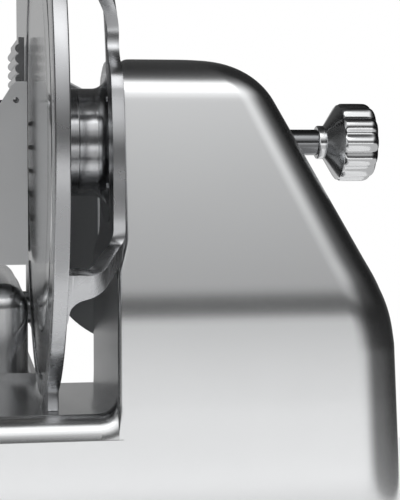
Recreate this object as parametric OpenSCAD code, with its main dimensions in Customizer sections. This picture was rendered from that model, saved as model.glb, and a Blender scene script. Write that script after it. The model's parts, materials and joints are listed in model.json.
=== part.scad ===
// Upright-blade meat slicer, belt driven. Millimetres, +Z up, +X towards the motor, +Y towards the user.
// The origin is the middle of the sole of the rear foot on the motor side.

/* [Base] */
// Overall width of the base casting
base_w = 380; // [360:1:420]
// Overall depth of the base casting
base_d = 430; // [410:1:480]
// Height of the rubber feet with the bottom cover
foot_h = 14; // [12:0.5:24]
// Height of the plinth above the feet
plinth_h = 61; // [50:1:75]
// Thickness of the low front deck, where the slices land
deck_h = 16; // [14:1:24]
// Wall of the castings
wall = 5; // [4:0.5:6]
// Corner radius of the base seen from above
corner_r = 40; // [30:1:50]
// Radius of the plinth's top edge
edge_r = 10; // [6:1:12]
// Width of the rim round the sunk floor
lip_w = 12; // [11:1:16]
// Depth of the sunk floor below the rim
recess = 5; // [3:0.5:6]
// Width of the carriage side of the base
leg_w = 168; // [160:1:180]
// Distance of the feet from the base's edges
foot_in = 32; // [28:1:40]
// Radius of a foot
foot_r = 20; // [14:1:22]
// Slope of the base's side wall on the motor side
draft_deg = 2.7; // [1:0.1:4]

/* [Motor hump] */
// Width of the hump at the foot of the base
hump_w = 174.5; // [170:0.5:190]
// Depth of the rear block and the hump
block_d = 165; // [160:1:185]
// Height of the hump above the blade axis
hump_over = 51; // [50:1:62]
// Flat top of the hump before its round shoulder
hump_flat = 57.4; // [50:0.1:66]
// Slope of the hump's flank from level
slope_deg = 61; // [57:0.5:64]
// Radius of the shoulder
shoulder_r = 50; // [40:1:56]
// Radius of the bend above the straight side
bend_r = 84; // [60:1:100]
// Lean of the upper rear face
lean_deg = 12; // [8:0.5:14]
// Height above the plinth where the rear face starts to lean
lean_h = 56; // [50:1:70]
// Radius of the bend in the rear face
lean_r = 90; // [60:1:110]
// Radius of the hump's rear top edge
crown_r = 30; // [20:1:34]
// Set-back of the upper wall beside the blade
wall_set = 4.5; // [3:0.5:6]

/* [Blade] */
// Diameter of the blade
blade_d = 300; // [290:1:306]
// Thickness of the blade
blade_t = 3; // [2.5:0.1:3.5]
// From the hump's foot to the cutting plane
blade_gap = 39; // [38:0.5:44]
// Blade axis in front of the rear face
axis_back = 110; // [104:1:118]
// Radius of the neck round the spindle
neck_r = 34.75; // [33:0.25:38]
// Width of the blade's rim outside the disc that covers it
rim_w = 31; // [31:1:50]

/* [Blade guard] */
// Gap between the blade's edge and the guard
guard_gap = 2.5; // [2:0.1:4]
// Radial thickness of the guard ring
guard_t = 11.1; // [8:0.1:12]
// Width of the guard ring
guard_w = 8.7; // [7:0.1:10]
// Where the guard ring ends above the cutting zone, from level
guard_top_deg = 72; // [70:1:80]
// Where the guard ring ends below the cutting zone, from level
guard_low_deg = 34; // [34:1:40]
// Thickness of the guard's side plate
plate_t = 7; // [5:0.5:8]

/* [Motor and belt] */
// Radius of the motor
motor_r = 60; // [50:1:62]
// Length of the motor
motor_l = 90; // [80:1:94]
// Motor axis behind the blade axis
motor_back = 27; // [20:1:30]
// Radius of the small pulley
pulley_small_r = 14; // [12:0.5:15]
// Width of the pulleys
pulley_w = 16; // [14:1:18]
// Thickness of the belt
belt_t = 3; // [2:0.5:3.5]

/* [Blade cover rod and knob] */
// Radius of the rod inside the spindle
rod_r = 5; // [4:0.5:5.5]
// Radius of the rod outside the hump
rod_out_r = 8.5; // [7:0.5:9]
// From the hump wall beside the blade to the knob's collar
knob_reach = 139.6; // [134:0.1:150]
// Radius of the knob's grip
grip_r = 25.65; // [22:0.05:28]
// Length of the knob's grip
grip_l = 21.6; // [18:0.1:26]
// Number of the knob's lobes
lobes = 12; // [8:1:14]

/* [Thickness gauge] */
// Thickness of the gauge plate
gauge_t = 6; // [4:0.5:8]
// Largest slice
slice_max = 14; // [8:1:15]
// From the gauge plate's front edge to the base's front
gauge_back = 30; // [20:1:50]
// Width of the pedestal that carries the gauge
pedestal_w = 40; // [38:1:44]
// Height of the pedestal above the plinth
pedestal_h = 62; // [58:1:66]
// Pedestal's rear end in front of the blade axis
pedestal_front = 75; // [70:1:84]
// Radius of the thickness dial
dial_r = 26; // [22:1:28]

/* [Carriage] */
// Width of the product tray
tray_w = 229.5; // [210:0.5:240]
// Depth of the product tray
tray_d = 230; // [220:1:240]
// Tray floor above the plinth
tray_h = 80; // [78:1:84]
// Sheet of the tray
sheet = 2; // [1.5:0.1:2.5]
// Gap between the tray and the guard ring
tray_gap = 4; // [4:0.5:6]
// Tray's rear wall in front of the blade axis
tray_front = 50; // [44:1:56]
// Height of the rear wall's ear above the tray floor
ear_h = 122; // [116:1:126]
// Radius of the carriage's guide rail
rail_r = 11; // [9:0.5:12]
// Rail from the base's edge
rail_in = 35; // [33:1:40]
// Length of the carriage's bearing block
slider_l = 110; // [90:1:112]
// Radius of the pusher's rod
pusher_rod_r = 6; // [5:0.5:7]
// Thickness of the press plate
press_t = 6; // [5:0.5:6.5]

/* [Hidden] */
$fn = 64;

// One overrun for all cuts, a running fit, and the gap that keeps loose neighbours apart
over = 1;
fit = 0.05;
gap = 0.3;
seat = 0.02;

// Main planes of the base, from the origin foot
base_right = foot_in;
base_left = base_right - base_w;
base_rear = -foot_in;
base_front = base_rear + base_d;
plinth_top = foot_h + plinth_h;
floor_z = plinth_top - recess;
deck_top = foot_h + deck_h;
leg_right = base_left + leg_w;
block_front = base_rear + block_d;
hump_x = base_right - hump_w;
wall_x = hump_x + wall_set;

// Blade axis and cutting plane
axis_y = base_rear + axis_back;
blade_r = blade_d / 2;
guard_in = blade_r + guard_gap;
guard_out = guard_in + guard_t;
ring_floor = 2.4;
axis_z = floor_z + ring_floor + guard_out;
hump_top = axis_z + hump_over;
cover_r = blade_r - rim_w;
cut_x = hump_x - blade_gap;

// Screws
m4_r = 2;
m4_head_r = 3.8;
m4_head_h = 2.6;
m5_r = 2.5;
m5_head_r = 4.6;
m5_head_h = 3;
m8_r = 4;
boss_r = 8;
boss_h = 8;
cover_t = 2;
cover_in = 3;
lip_corner_r = 9;
deck_roof = 4;

// Points of an arc
function arc(c, r, a0, a1, n = 8) =
    [for (i = [0:n]) [c[0] + r * cos(a0 + (a1 - a0) * i / n), c[1] + r * sin(a0 + (a1 - a0) * i / n)]];

// Rounded rectangle from its low and high corners
function rounded(lo, hi, r) = concat(
    arc([hi[0] - r, hi[1] - r], r, 0, 90),
    arc([lo[0] + r, hi[1] - r], r, 90, 180),
    arc([lo[0] + r, lo[1] + r], r, 180, 270),
    arc([hi[0] - r, lo[1] + r], r, 270, 360)
);

// Rods and plates laid along the main axes
module x_rod(x, y, z, r, l) translate([x, y, z]) rotate([0, 90, 0]) cylinder(r = r, h = l);
module y_rod(x, y, z, r, l) translate([x, y, z]) rotate([-90, 0, 0]) cylinder(r = r, h = l);
module z_rod(x, y, z, r, l) translate([x, y, z]) cylinder(r = r, h = l);
module x_plate(x, t) translate([x, 0, 0]) rotate([90, 0, 90]) linear_extrude(t) children();
module y_plate(y, t) translate([0, y + t, 0]) rotate([90, 0, 0]) linear_extrude(t) children();
module z_plate(z, t) translate([0, 0, z]) linear_extrude(t) children();
module box(lo, hi) translate(lo) cube([hi[0] - lo[0], hi[1] - lo[1], hi[2] - lo[2]]);

// A part turned about the blade axis, its outline given as radius and X
module on_axis() translate([0, axis_y, axis_z]) rotate([0, 90, 0]) rotate_extrude() children();
module axle(x, r, l) x_rod(x, axis_y, axis_z, r, l);

// Outline of the hump seen from the rear: straight flank between two tangent bends
flank_n = 90 - slope_deg;
side_off = base_right * cos(draft_deg) + foot_h * sin(draft_deg);
shoulder_c = [hump_x + hump_flat, hump_top - shoulder_r];
flank_off = shoulder_c[0] * cos(flank_n) + shoulder_c[1] * sin(flank_n) + shoulder_r;
bend_det = sin(draft_deg - flank_n);
bend_c = [
    ((flank_off - bend_r) * sin(draft_deg) - (side_off - bend_r) * sin(flank_n)) / bend_det,
    ((side_off - bend_r) * cos(flank_n) - (flank_off - bend_r) * cos(draft_deg)) / bend_det
];
hump_corner_r = 8;
flare_below = 85;
flare_l = 26;
flare_high = axis_z - flare_below;
flare_low = flare_high - flare_l;
function side_x(z, inset) = (side_off - inset - z * sin(draft_deg)) / cos(draft_deg);
function flank_x(z, inset) = (flank_off - inset - z * sin(flank_n)) / cos(flank_n);
function hump_rear_outline(inset, z0) = concat(
    [[side_x(z0, inset), z0]],
    arc(bend_c, bend_r - inset, draft_deg, flank_n),
    arc(shoulder_c, shoulder_r - inset, flank_n, 90, 10),
    arc([wall_x + hump_corner_r, hump_top - hump_corner_r], hump_corner_r - inset, 90, 180, 4),
    inset > 0 ? [[wall_x + inset, z0]] : [[wall_x, flare_high], [hump_x, flare_low], [hump_x, z0]]
);

// Outline of the hump seen from the side: rear face upright, then leaning, then rounded over
lean_c = [base_rear + lean_r, plinth_top + lean_h];
lean_off = -lean_c[0] * cos(lean_deg) + lean_c[1] * sin(lean_deg) + lean_r;
crown_c = [
    ((hump_top - crown_r) * sin(lean_deg) - lean_off + crown_r) / cos(lean_deg),
    hump_top - crown_r
];
front_crown_r = 30;
function hump_side_outline(inset, z0) = concat(
    [[block_front - inset, z0]],
    arc([block_front - front_crown_r, hump_top - front_crown_r], front_crown_r - inset, 0, 90),
    arc(crown_c, crown_r - inset, 90, 180 - lean_deg),
    arc(lean_c, lean_r - inset, 180 - lean_deg, 180, 6),
    [[base_rear + inset, z0]]
);

// Outline of the hump from above
front_corner_r = 35;
function hump_plan(inset) = concat(
    arc([base_right - front_corner_r, block_front - front_corner_r], front_corner_r - inset, 0, 90),
    arc([hump_x + hump_corner_r, block_front - hump_corner_r], hump_corner_r - inset, 90, 180, 4),
    arc([hump_x + hump_corner_r, base_rear + hump_corner_r], hump_corner_r - inset, 180, 270, 4),
    arc([base_right - corner_r, base_rear + corner_r], corner_r - inset, 270, 360)
);

module hump_form(inset, z0) {
    intersection() {
        y_plate(base_rear - over, block_d + 2 * over) polygon(hump_rear_outline(inset, z0));
        x_plate(hump_x - over, hump_w + 2 * over) polygon(hump_side_outline(inset, z0));
        z_plate(z0, hump_top - z0 + over) polygon(hump_plan(inset));
    }
}

// The plinth: a rear block across the whole width and a leg that runs forward under the carriage
function plinth_side_outline() = concat(
    [[base_front, foot_h]],
    arc([base_front - edge_r, plinth_top - edge_r], edge_r, 0, 90, 5),
    arc([base_rear + edge_r, plinth_top - edge_r], edge_r, 90, 180, 5),
    [[base_rear, foot_h]]
);
function plinth_rear_outline() = concat(
    [[side_x(foot_h, 0), foot_h], [side_x(plinth_top, 0), plinth_top]],
    arc([base_left + edge_r, plinth_top - edge_r], edge_r, 90, 180, 5),
    [[base_left, foot_h]]
);
module plinth_plan(inset) {
    polygon(rounded([base_left + inset, base_rear + inset], [base_right - inset, block_front - inset],
        corner_r - inset));
    polygon(rounded([base_left + inset, base_rear + inset], [leg_right - inset, base_front - inset],
        corner_r - inset));
    translate([base_left + corner_r, base_rear + corner_r])
        square([leg_w - corner_r - inset, block_d - corner_r - inset]);
}
module plinth_form() {
    intersection() {
        z_plate(foot_h, plinth_h) plinth_plan(0);
        x_plate(base_left - over, base_w + 2 * over) polygon(plinth_side_outline());
        y_plate(base_rear - over, base_d + 2 * over) polygon(plinth_rear_outline());
    }
}
module base_plan(inset) {
    polygon(rounded([base_left + inset, base_rear + inset], [base_right - inset, base_front - inset],
        corner_r - inset));
}

// The pedestal ridge under the gauge plate
pedestal_set = 5;
pedestal_right = leg_right - pedestal_set;
pedestal_left = pedestal_right - pedestal_w;
pedestal_rear = axis_y + pedestal_front;
pedestal_end = base_front - lip_w;
pedestal_top = plinth_top + pedestal_h;
pedestal_r = 18;
function ridge_outline(lo, hi, top, r) = concat(
    [[hi, floor_z - wall]],
    arc([hi - r, top - r], r, 0, 90),
    arc([lo + r, top - r], r, 90, 180),
    [[lo, floor_z - wall]]
);
module pedestal_form(inset) {
    intersection() {
        y_plate(pedestal_rear + inset, pedestal_end - pedestal_rear - 2 * inset)
            polygon(ridge_outline(pedestal_left + inset, pedestal_right - inset, pedestal_top - inset,
                pedestal_r - inset));
        x_plate(pedestal_left - over, pedestal_w + 2 * over)
            polygon(ridge_outline(pedestal_rear + inset, pedestal_end - inset, pedestal_top - inset,
                pedestal_r - inset));
    }
}

// Places of the feet and of the cover's screws
function foot_places() = [
    [0, 0],
    [base_left + foot_in, 0],
    [base_left + foot_in, base_front - foot_in],
    [0, base_front - foot_in]
];
screw_in = 16;
base_mid = [(base_left + base_right) / 2, (base_rear + base_front) / 2];
function cover_places() = [
    [base_mid[0], base_rear + screw_in],
    [base_mid[0], base_front - screw_in],
    [base_left + screw_in, base_mid[1]],
    [base_right - screw_in, base_mid[1]]
];

// A screw boss inside the casting with the rib that joins it to the wall
module boss(p, reach) {
    z_rod(p[0], p[1], foot_h - over, boss_r, boss_h + over);
    translate([min(p[0], p[0] + reach[0]) - wall / 2, min(p[1], p[1] + reach[1]) - wall / 2, foot_h - over])
        cube([abs(reach[0]) + wall, abs(reach[1]) + wall, boss_h + over]);
}

// Screws of the hub housing, seen along the blade axis
hub_screw_r = 38.6;
hub_flange_r = 43;
function hub_places() = [for (a = [45:90:315])
    [axis_y + hub_screw_r * cos(a), axis_z + hub_screw_r * sin(a)]];
spigot_r = 29.5;
hub_boss_r = 37;

// Screws of the guard's side plate
plate_w = 25;
plate_rear = base_rear;
ring_screw_heights = [-43, -14, 15];
function ring_places() = [
    for (h = ring_screw_heights) [plate_rear + lean_shift(h) + plate_w / 2, axis_z + h]
];
// How far the leaning rear face has moved forward at a height from the blade axis
function lean_shift(h) = max(0, (axis_z + h - lean_c[1] - lean_r * sin(lean_deg)) * tan(lean_deg)
    + lean_r * (1 - cos(lean_deg)));

// Motor pillars, seen along the motor axis
motor_y = axis_y - motor_back;
motor_floor = 21;
motor_z = foot_h + motor_r + motor_floor;
motor_drop = axis_z - motor_z;
pillar_side_share = 0.85;
pillar_shares = [-0.15, 0.42];
pillar_r = 6;
function pillar_places() = [for (s = [-1, 1]) for (t = pillar_shares)
    [motor_y + s * motor_r * pillar_side_share, motor_z + motor_r * t]];
wall_in_x = wall_x + wall;

// Places on the deflector and the switch plate
deflect_screw_in = 46;
deflect_screw_x = wall_x + deflect_screw_in;
deflect_screw_h = 15;
function deflect_places() = [for (s = [-1, 1]) [deflect_screw_x, axis_z + s * deflect_screw_h]];
switch_in = 85;
switch_below = 50;
switch_x = wall_x + switch_in;
switch_z = axis_z - switch_below;
switch_w = 64;
switch_h = 34;
button_r = 9;
button_pitch = 28;
button_hole_r = 6;

// Tie rod bush behind the sloping flank
bush_in = 86;
bush_x = wall_x + bush_in;
bush_l = 16;
bush_r = 12;
bush_boss_r = 17;

// Gauge shafts and dial
shaft_r = 11;
shaft_small_r = 8;
shaft_end = 46;
shaft_pitch = 62;
shaft_below = 30;
shaft_2_y = pedestal_end - shaft_end;
shaft_1_y = shaft_2_y - shaft_pitch;
shaft_z = pedestal_top - shaft_below;
shaft_wall = 3;
dial_x = (pedestal_left + pedestal_right) / 2;
dial_shaft_r = 6;

// Rail and its brackets
rail_x = base_left + rail_in;
rail_h = 30;
rail_z = floor_z + rail_h;
bracket_t = 20;
bracket_w = 34;
gland_in = 53;
gland_h = 24;
gland_x = base_left + gland_in;
gland_z = foot_h + gland_h;
gland_r = 9;

// Main casting: plinth, hump, pedestal and low deck in one hollow piece of aluminium. Three nodes
// share it: the block with the hump, the pedestal above the plinth's top, and the body with the rest.
module body_casting() {
    color("silver") difference() {
        whole_casting();
        hump_room();
        pedestal_room();
    }
}
module motor_hump() {
    color("silver") intersection() {
        whole_casting();
        hump_room();
    }
}
module gauge_pedestal() {
    color("silver") intersection() {
        whole_casting();
        pedestal_room();
    }
}
module hump_room() {
    box([hump_x - over, base_rear - over, 0], [base_right + over, block_front + over, hump_top + over]);
}
module pedestal_room() {
    box([pedestal_left - over, pedestal_rear - over, plinth_top + 2 * over],
        [pedestal_right + over, pedestal_end + over, pedestal_top + over]);
}
module whole_casting() {
    difference() {
        union() {
            plinth_form();
            hump_form(0, foot_h);
            pedestal_form(0);
            z_plate(foot_h, deck_h) base_plan(0);
        }
        // Sunk floor inside the rim, open towards the low deck
        z_plate(floor_z, plinth_top - floor_z + over) difference() {
            union() {
                polygon(rounded([base_left + lip_w, base_rear + lip_w],
                    [leg_right - lip_w, base_front - lip_w], lip_corner_r));
                polygon(rounded([base_left + lip_w, base_rear + lip_w],
                    [hump_x, block_front + block_d / 2], lip_corner_r));
            }
            translate([pedestal_left, pedestal_rear]) square([pedestal_w, pedestal_end - pedestal_rear]);
            translate([leg_right - lip_w, pedestal_rear]) square([lip_w + block_d, base_d]);
        }
        // Hollow inside
        difference() {
            union() {
                z_plate(foot_h - over, floor_z - wall - foot_h + over) plinth_plan(wall);
                z_plate(foot_h - over, deck_h - deck_roof + over) base_plan(wall);
                hump_form(wall, foot_h - over);
                pedestal_form(wall);
            }
            for (p = foot_places()) boss(p, [sign(p[0] - base_mid[0]) * foot_in, 0]);
            for (p = cover_places()) {
                out = [sign(p[0] - base_mid[0]), sign(p[1] - base_mid[1])];
                boss(p, screw_in * out);
            }
            intersection() {
                axle(bush_x, bush_boss_r, hump_w);
                hump_form(0, foot_h);
            }
        }
        // Holes: feet, cover, hub, tie rod, motor pillars, plate, switch, deflector, gauge and gland
        for (p = foot_places()) z_rod(p[0], p[1], foot_h - over, m8_r + seat, boss_h - over);
        for (p = cover_places()) z_rod(p[0], p[1], foot_h - over, m4_r + seat, boss_h - over);
        axle(wall_x - over, spigot_r + seat, wall + 2 * over);
        for (p = hub_places()) x_rod(wall_x - over, p[0], p[1], m4_r + seat, wall + 2 * over);
        for (p = ring_places()) x_rod(wall_x - over, p[0], p[1], m5_r + seat, wall + 2 * over);
        for (p = pillar_places()) x_rod(wall_x - over, p[0], p[1], m5_r + seat, wall + 2 * over);
        axle(bush_x - over, bush_r + seat, bush_l + over);
        axle(bush_x, rod_out_r + over, hump_w);
        for (p = deflect_places()) y_rod(p[0], block_front - wall - over, p[1], m4_r + seat, wall + 2 * over);
        for (s = [-1, 1])
            y_rod(switch_x + s * button_pitch / 2, block_front - wall - over, switch_z, button_hole_r + gap,
                wall + 2 * over);
        x_rod(pedestal_left - over, shaft_1_y, shaft_z, shaft_r + shaft_wall + seat, pedestal_w + 2 * over);
        x_rod(pedestal_left - over, shaft_2_y, shaft_z, shaft_small_r + shaft_wall + seat,
            pedestal_w + 2 * over);
        y_rod(dial_x, pedestal_end - wall - over, shaft_z, dial_shaft_r + fit, wall + 2 * over);
        y_rod(gland_x, base_rear - over, gland_z, gland_r - over + seat, wall + 2 * over);
    }
}

// Bottom cover plate, held by the foot studs and four screws
module bottom_cover() {
    color("gray") difference() {
        z_plate(foot_h - cover_t, cover_t) base_plan(cover_in);
        for (p = foot_places()) z_rod(p[0], p[1], foot_h - cover_t - over, m8_r + seat, cover_t + 2 * over);
        for (p = cover_places()) z_rod(p[0], p[1], foot_h - cover_t - over, m4_r + seat, cover_t + 2 * over);
    }
}
module cover_screws() {
    color("darkgray") for (p = cover_places()) {
        z_rod(p[0], p[1], foot_h - cover_t, m4_r, cover_t + boss_h - 2 * over);
        z_rod(p[0], p[1], foot_h - cover_t - m4_head_h, m4_head_r, m4_head_h);
    }
}

// Rubber feet on steel studs
foot_hole_r = 9;
foot_body = foot_h - cover_t;
stud_sink = 5;
stud_l = foot_h + boss_h - 3 * over - stud_sink;
module rubber_feet() {
    color([0.12, 0.12, 0.12]) for (p = foot_places()) difference() {
        translate([p[0], p[1], 0]) cylinder(r1 = foot_r - cover_in, r2 = foot_r, h = foot_body);
        z_rod(p[0], p[1], stud_sink, m8_r + seat, foot_body);
    }
}
module foot_studs() {
    color("darkgray") for (p = foot_places()) z_rod(p[0], p[1], stud_sink, m8_r, stud_l);
}

// Hub housing: polished neck, round flange and a spigot through the hump wall, with two bearings
neck_in = 23.4;
neck_x = cut_x + neck_in;
flange_t = 5;
spigot_l = 24;
bearing_r = 23.5;
bearing_w = 12;
bearing_bore = 12.5;
bearing_in = 1.2;
module hub_housing() {
    color([0.45, 0.45, 0.46]) difference() {
        union() {
            axle(neck_x, neck_r, wall_x - neck_x);
            axle(wall_x - flange_t, hub_flange_r, flange_t);
            axle(wall_x - over, spigot_r, spigot_l + over);
        }
        axle(neck_x - over, bearing_r, bearing_in + bearing_w + over);
        axle(neck_x, bearing_r - 3 * over, wall_x - neck_x + spigot_l + over);
        axle(wall_x + spigot_l - bearing_in - bearing_w, bearing_r, bearing_w + bearing_in + over);
        for (p = hub_places()) x_rod(wall_x - flange_t + over, p[0], p[1], m4_r + seat, flange_t);
    }
}

// Screws through the hump's wall from its inside, into the housing's flange and the guard's side plate
module wall_screws() {
    color("darkgray") {
        for (p = hub_places()) {
            x_rod(wall_x - flange_t + 2 * over, p[0], p[1], m4_r, flange_t + wall - 2 * over);
            x_rod(wall_in_x, p[0], p[1], m4_head_r, m4_head_h);
        }
        for (p = ring_places()) {
            x_rod(plate_x + 2 * over, p[0], p[1], m5_r, wall_in_x - plate_x - 2 * over);
            x_rod(wall_in_x, p[0], p[1], m5_head_r, m5_head_h);
        }
    }
}
module bearing(x) {
    difference() {
        axle(x, bearing_r - seat, bearing_w);
        axle(x - over, bearing_bore + fit, bearing_w + 2 * over);
    }
}
module spindle_bearings() {
    color("lightgray") {
        bearing(neck_x + bearing_in);
        bearing(wall_x + spigot_l - bearing_in - bearing_w);
    }
}

// Blade guard: ring, foot, side plate and two curved arms
guard_x = cut_x - over;
arm_t = 7.6;
arm_half = 17;
arm_bend_x = guard_x + 2 * guard_w;
arm_low_deg = 213;
arm_high_deg = 131;
plate_x = wall_x - plate_t;
sharp_half = 27;
sharp_deg = asin(sharp_half / guard_in);
module wedge(a0, a1, r) polygon(concat([[0, 0]], arc([0, 0], r, a0, a1, 6)));
module guard_slab(a, x0, x1, r0, r1, half) {
    translate([x0, axis_y, axis_z]) rotate([a, 0, 0])
        translate([0, r0, -half]) cube([x1 - x0, r1 - r0, 2 * half]);
}
module guard_arm(a, plate_lo, plate_hi) {
    hull() {
        guard_slab(a, guard_x + guard_w / 2, guard_x + guard_w, guard_out - arm_t, guard_out - over / 2,
            arm_half);
        guard_slab(a, arm_bend_x, arm_bend_x + 2 * over, guard_out - arm_t - over, guard_out - 2 * over,
            arm_half);
    }
    hull() {
        guard_slab(a, arm_bend_x, arm_bend_x + 2 * over, guard_out - arm_t - over, guard_out - 2 * over,
            arm_half);
        box([plate_x, plate_lo[0], plate_lo[1]], [plate_x + arm_t - over, plate_hi[0], plate_hi[1]]);
    }
}
low_arm_z = [-84, -50];
high_arm_z = [74, 100];
top_plate_y = 34;
ring_foot_y = [-60, -8];
ring_foot_in = 1.5;
lean_start = -22;
module ring_guard() {
    color([0.72, 0.72, 0.73]) difference() {
        union() {
            translate([guard_x, axis_y, axis_z]) rotate([90, 0, 90]) linear_extrude(guard_w) difference() {
                circle(r = guard_out, $fn = 128);
                circle(r = guard_in, $fn = 128);
                wedge(-guard_low_deg, guard_top_deg, 2 * blade_r);
                wedge(90 - sharp_deg, 90 + sharp_deg, 2 * blade_r);
            }
            guard_arm(arm_low_deg, [base_rear, axis_z + low_arm_z[0]],
                [base_rear + plate_w, axis_z + low_arm_z[1]]);
            guard_arm(arm_high_deg, [base_rear + top_plate_y, axis_z + high_arm_z[0]],
                [base_rear + top_plate_y + plate_w, axis_z + high_arm_z[1]]);
            x_plate(plate_x, plate_t - seat) polygon([
                [base_rear, axis_z + low_arm_z[0]],
                [base_rear + plate_w, axis_z + low_arm_z[0]],
                [base_rear + plate_w + lean_shift(high_arm_z[0] / 3), axis_z + high_arm_z[0] / 3],
                [base_rear + top_plate_y + plate_w, axis_z + high_arm_z[0]],
                [base_rear + top_plate_y + plate_w, axis_z + high_arm_z[1]],
                [base_rear + top_plate_y, axis_z + high_arm_z[1]],
                [base_rear + top_plate_y, axis_z + high_arm_z[0]],
                [base_rear + lean_shift(high_arm_z[0] / 3), axis_z + high_arm_z[0] / 3],
                [base_rear + lean_shift(lean_start), axis_z + lean_start]
            ]);
            intersection() {
                box([guard_x + ring_foot_in, axis_y + ring_foot_y[0], floor_z],
                    [guard_x + guard_w, axis_y + ring_foot_y[1], axis_z]);
                translate([guard_x, axis_y, axis_z]) rotate([90, 0, 90])
                linear_extrude(guard_w) difference() {
                    circle(r = 2 * blade_r);
                    circle(r = guard_in + guard_t / 2);
                }
                box([guard_x, axis_y + ring_foot_y[0], floor_z], [wall_x, axis_y, plinth_top + lip_w * 2]);
            }
        }
        for (p = ring_places()) x_rod(plate_x + over, p[0], p[1], m5_r + seat, plate_t + over);
        for (s = [-1, 1])
            z_rod(guard_x + guard_w / 2, axis_y + s * lug_y, axis_z + guard_in, m4_r + seat, guard_t + over);
    }
}

// Slice deflector: curved sheet behind the cutting zone with a tab on the hump's front face
deflect_r = 116;
deflect_deg = 47;
deflect_back = 5;
deflect_reach = blade_r - deflect_back;
deflect_edge_in = 3;
deflect_edge_r = blade_r - deflect_edge_in;
deflect_in = 6.5;
deflect_x = cut_x + deflect_in;
deflect_c = [deflect_x + deflect_r, axis_y + deflect_reach];
tab_half = 25;
tab_w = 60;
deflect_side_low = 59;
deflect_side_high = 85;
tab_lap_deg = 2;
tab_deg = 180 + deflect_deg;
module deflector() {
    color([0.4, 0.4, 0.41]) difference() {
        union() {
            intersection() {
                z_plate(axis_z - blade_r, blade_d) polygon(concat(
                    arc(deflect_c, deflect_r, 180, 180 + deflect_deg, 16),
                    arc(deflect_c, deflect_r - sheet, 180 + deflect_deg, 180, 16)
                ));
                axle(cut_x, deflect_edge_r, hump_w);
                x_plate(cut_x, hump_w) polygon([
                    [axis_y, axis_z - blade_r],
                    [axis_y + deflect_side_low, axis_z + tab_half],
                    [axis_y + deflect_side_high, axis_z + blade_r / 2],
                    [axis_y + blade_r, axis_z + blade_r],
                    [axis_y + blade_r, axis_z - blade_r]
                ]);
            }
            z_plate(axis_z - tab_half, 2 * tab_half) polygon([
                deflect_c + (deflect_r - sheet) * [cos(tab_deg - tab_lap_deg), sin(tab_deg - tab_lap_deg)],
                deflect_c + deflect_r * [cos(tab_deg), sin(tab_deg)],
                [wall_x + lip_w, block_front + seat],
                [wall_x + tab_w, block_front + seat],
                [wall_x + tab_w, block_front + sheet],
                [wall_x + lip_w, block_front + sheet]
            ]);
        }
        for (p = deflect_places()) y_rod(p[0], block_front - over, p[1], m4_r + seat, sheet + 2 * over);
    }
}
module deflector_screws() {
    color("darkgray") for (p = deflect_places()) {
        y_rod(p[0], block_front - wall, p[1], m4_r, wall + sheet);
        y_rod(p[0], block_front + sheet, p[1], m4_head_r, m4_head_h);
    }
}

// Motor: case, end caps and pillars to the hump wall
motor_in = 50;
motor_x = wall_x + motor_in;
cap_t = 10;
cap_r = motor_r;
motor_shaft_r = 7;
stator_wall = 6;
module motor_case() {
    color([0.3, 0.3, 0.32]) difference() {
        x_rod(motor_x + cap_t, motor_y, motor_z, motor_r, motor_l - 2 * cap_t);
        x_rod(motor_x, motor_y, motor_z, motor_r - stator_wall, motor_l);
        for (p = pillar_places())
            x_rod(motor_x + cap_t - over, p[0], p[1], m5_r + seat, 3 * cap_t / 2);
    }
}
module motor_end_caps() {
    color("silver") for (x = [motor_x, motor_x + motor_l - cap_t]) difference() {
        x_rod(x, motor_y, motor_z, cap_r, cap_t);
        x_rod(x - over, motor_y, motor_z, motor_shaft_r + fit, cap_t + 2 * over);
        for (p = pillar_places()) x_rod(x - over, p[0], p[1], m5_r + seat, cap_t + 2 * over);
    }
}
module motor_pillars() {
    color("gray") for (p = pillar_places()) {
        x_rod(wall_in_x + seat, p[0], p[1], pillar_r, motor_x - wall_in_x - 2 * seat);
        x_rod(hump_x + wall_set, p[0], p[1], m5_r, motor_x - wall_x + cap_t - over);
    }
}
rotor_r = motor_r - stator_wall - 1;
rotor_in = 8;
pulley_in = 29;
pulley_room = 4;
pulley_large_r = hump_over - wall - pulley_room;
pulley_x = wall_x + pulley_in;
fan_t = 6;
module motor_shaft() {
    color("gray") {
        x_rod(pulley_x - over, motor_y, motor_z, motor_shaft_r, motor_x + motor_l - pulley_x + 3 * over);
        x_rod(motor_x + cap_t + rotor_in + fan_t, motor_y, motor_z, rotor_r,
            motor_l - 2 * cap_t - 2 * rotor_in - fan_t);
    }
}
module motor_pulley() {
    color("lightgray") difference() {
        union() {
            x_rod(pulley_x, motor_y, motor_z, pulley_small_r, pulley_w);
            x_rod(pulley_x, motor_y, motor_z, pulley_small_r + belt_t, over);
            x_rod(pulley_x + pulley_w - over, motor_y, motor_z, pulley_small_r + belt_t, over);
        }
        x_rod(pulley_x - over, motor_y, motor_z, motor_shaft_r + seat, pulley_w + 2 * over);
    }
}
fan_blades = 9;
module motor_fan() {
    color("dimgray") difference() {
        union() {
            x_rod(motor_x + cap_t + over, motor_y, motor_z, rotor_r / 3, fan_t);
            for (i = [0:fan_blades - 1]) translate([motor_x + cap_t + 2 * over, motor_y, motor_z])
                rotate([i * 360 / fan_blades, 0, 0]) translate([0, rotor_r / 4, -over])
                    cube([fan_t - 2 * over, 3 * rotor_r / 4, 2 * over]);
        }
        x_rod(motor_x + cap_t, motor_y, motor_z, motor_shaft_r + seat, fan_t + 2 * over);
    }
}

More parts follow.
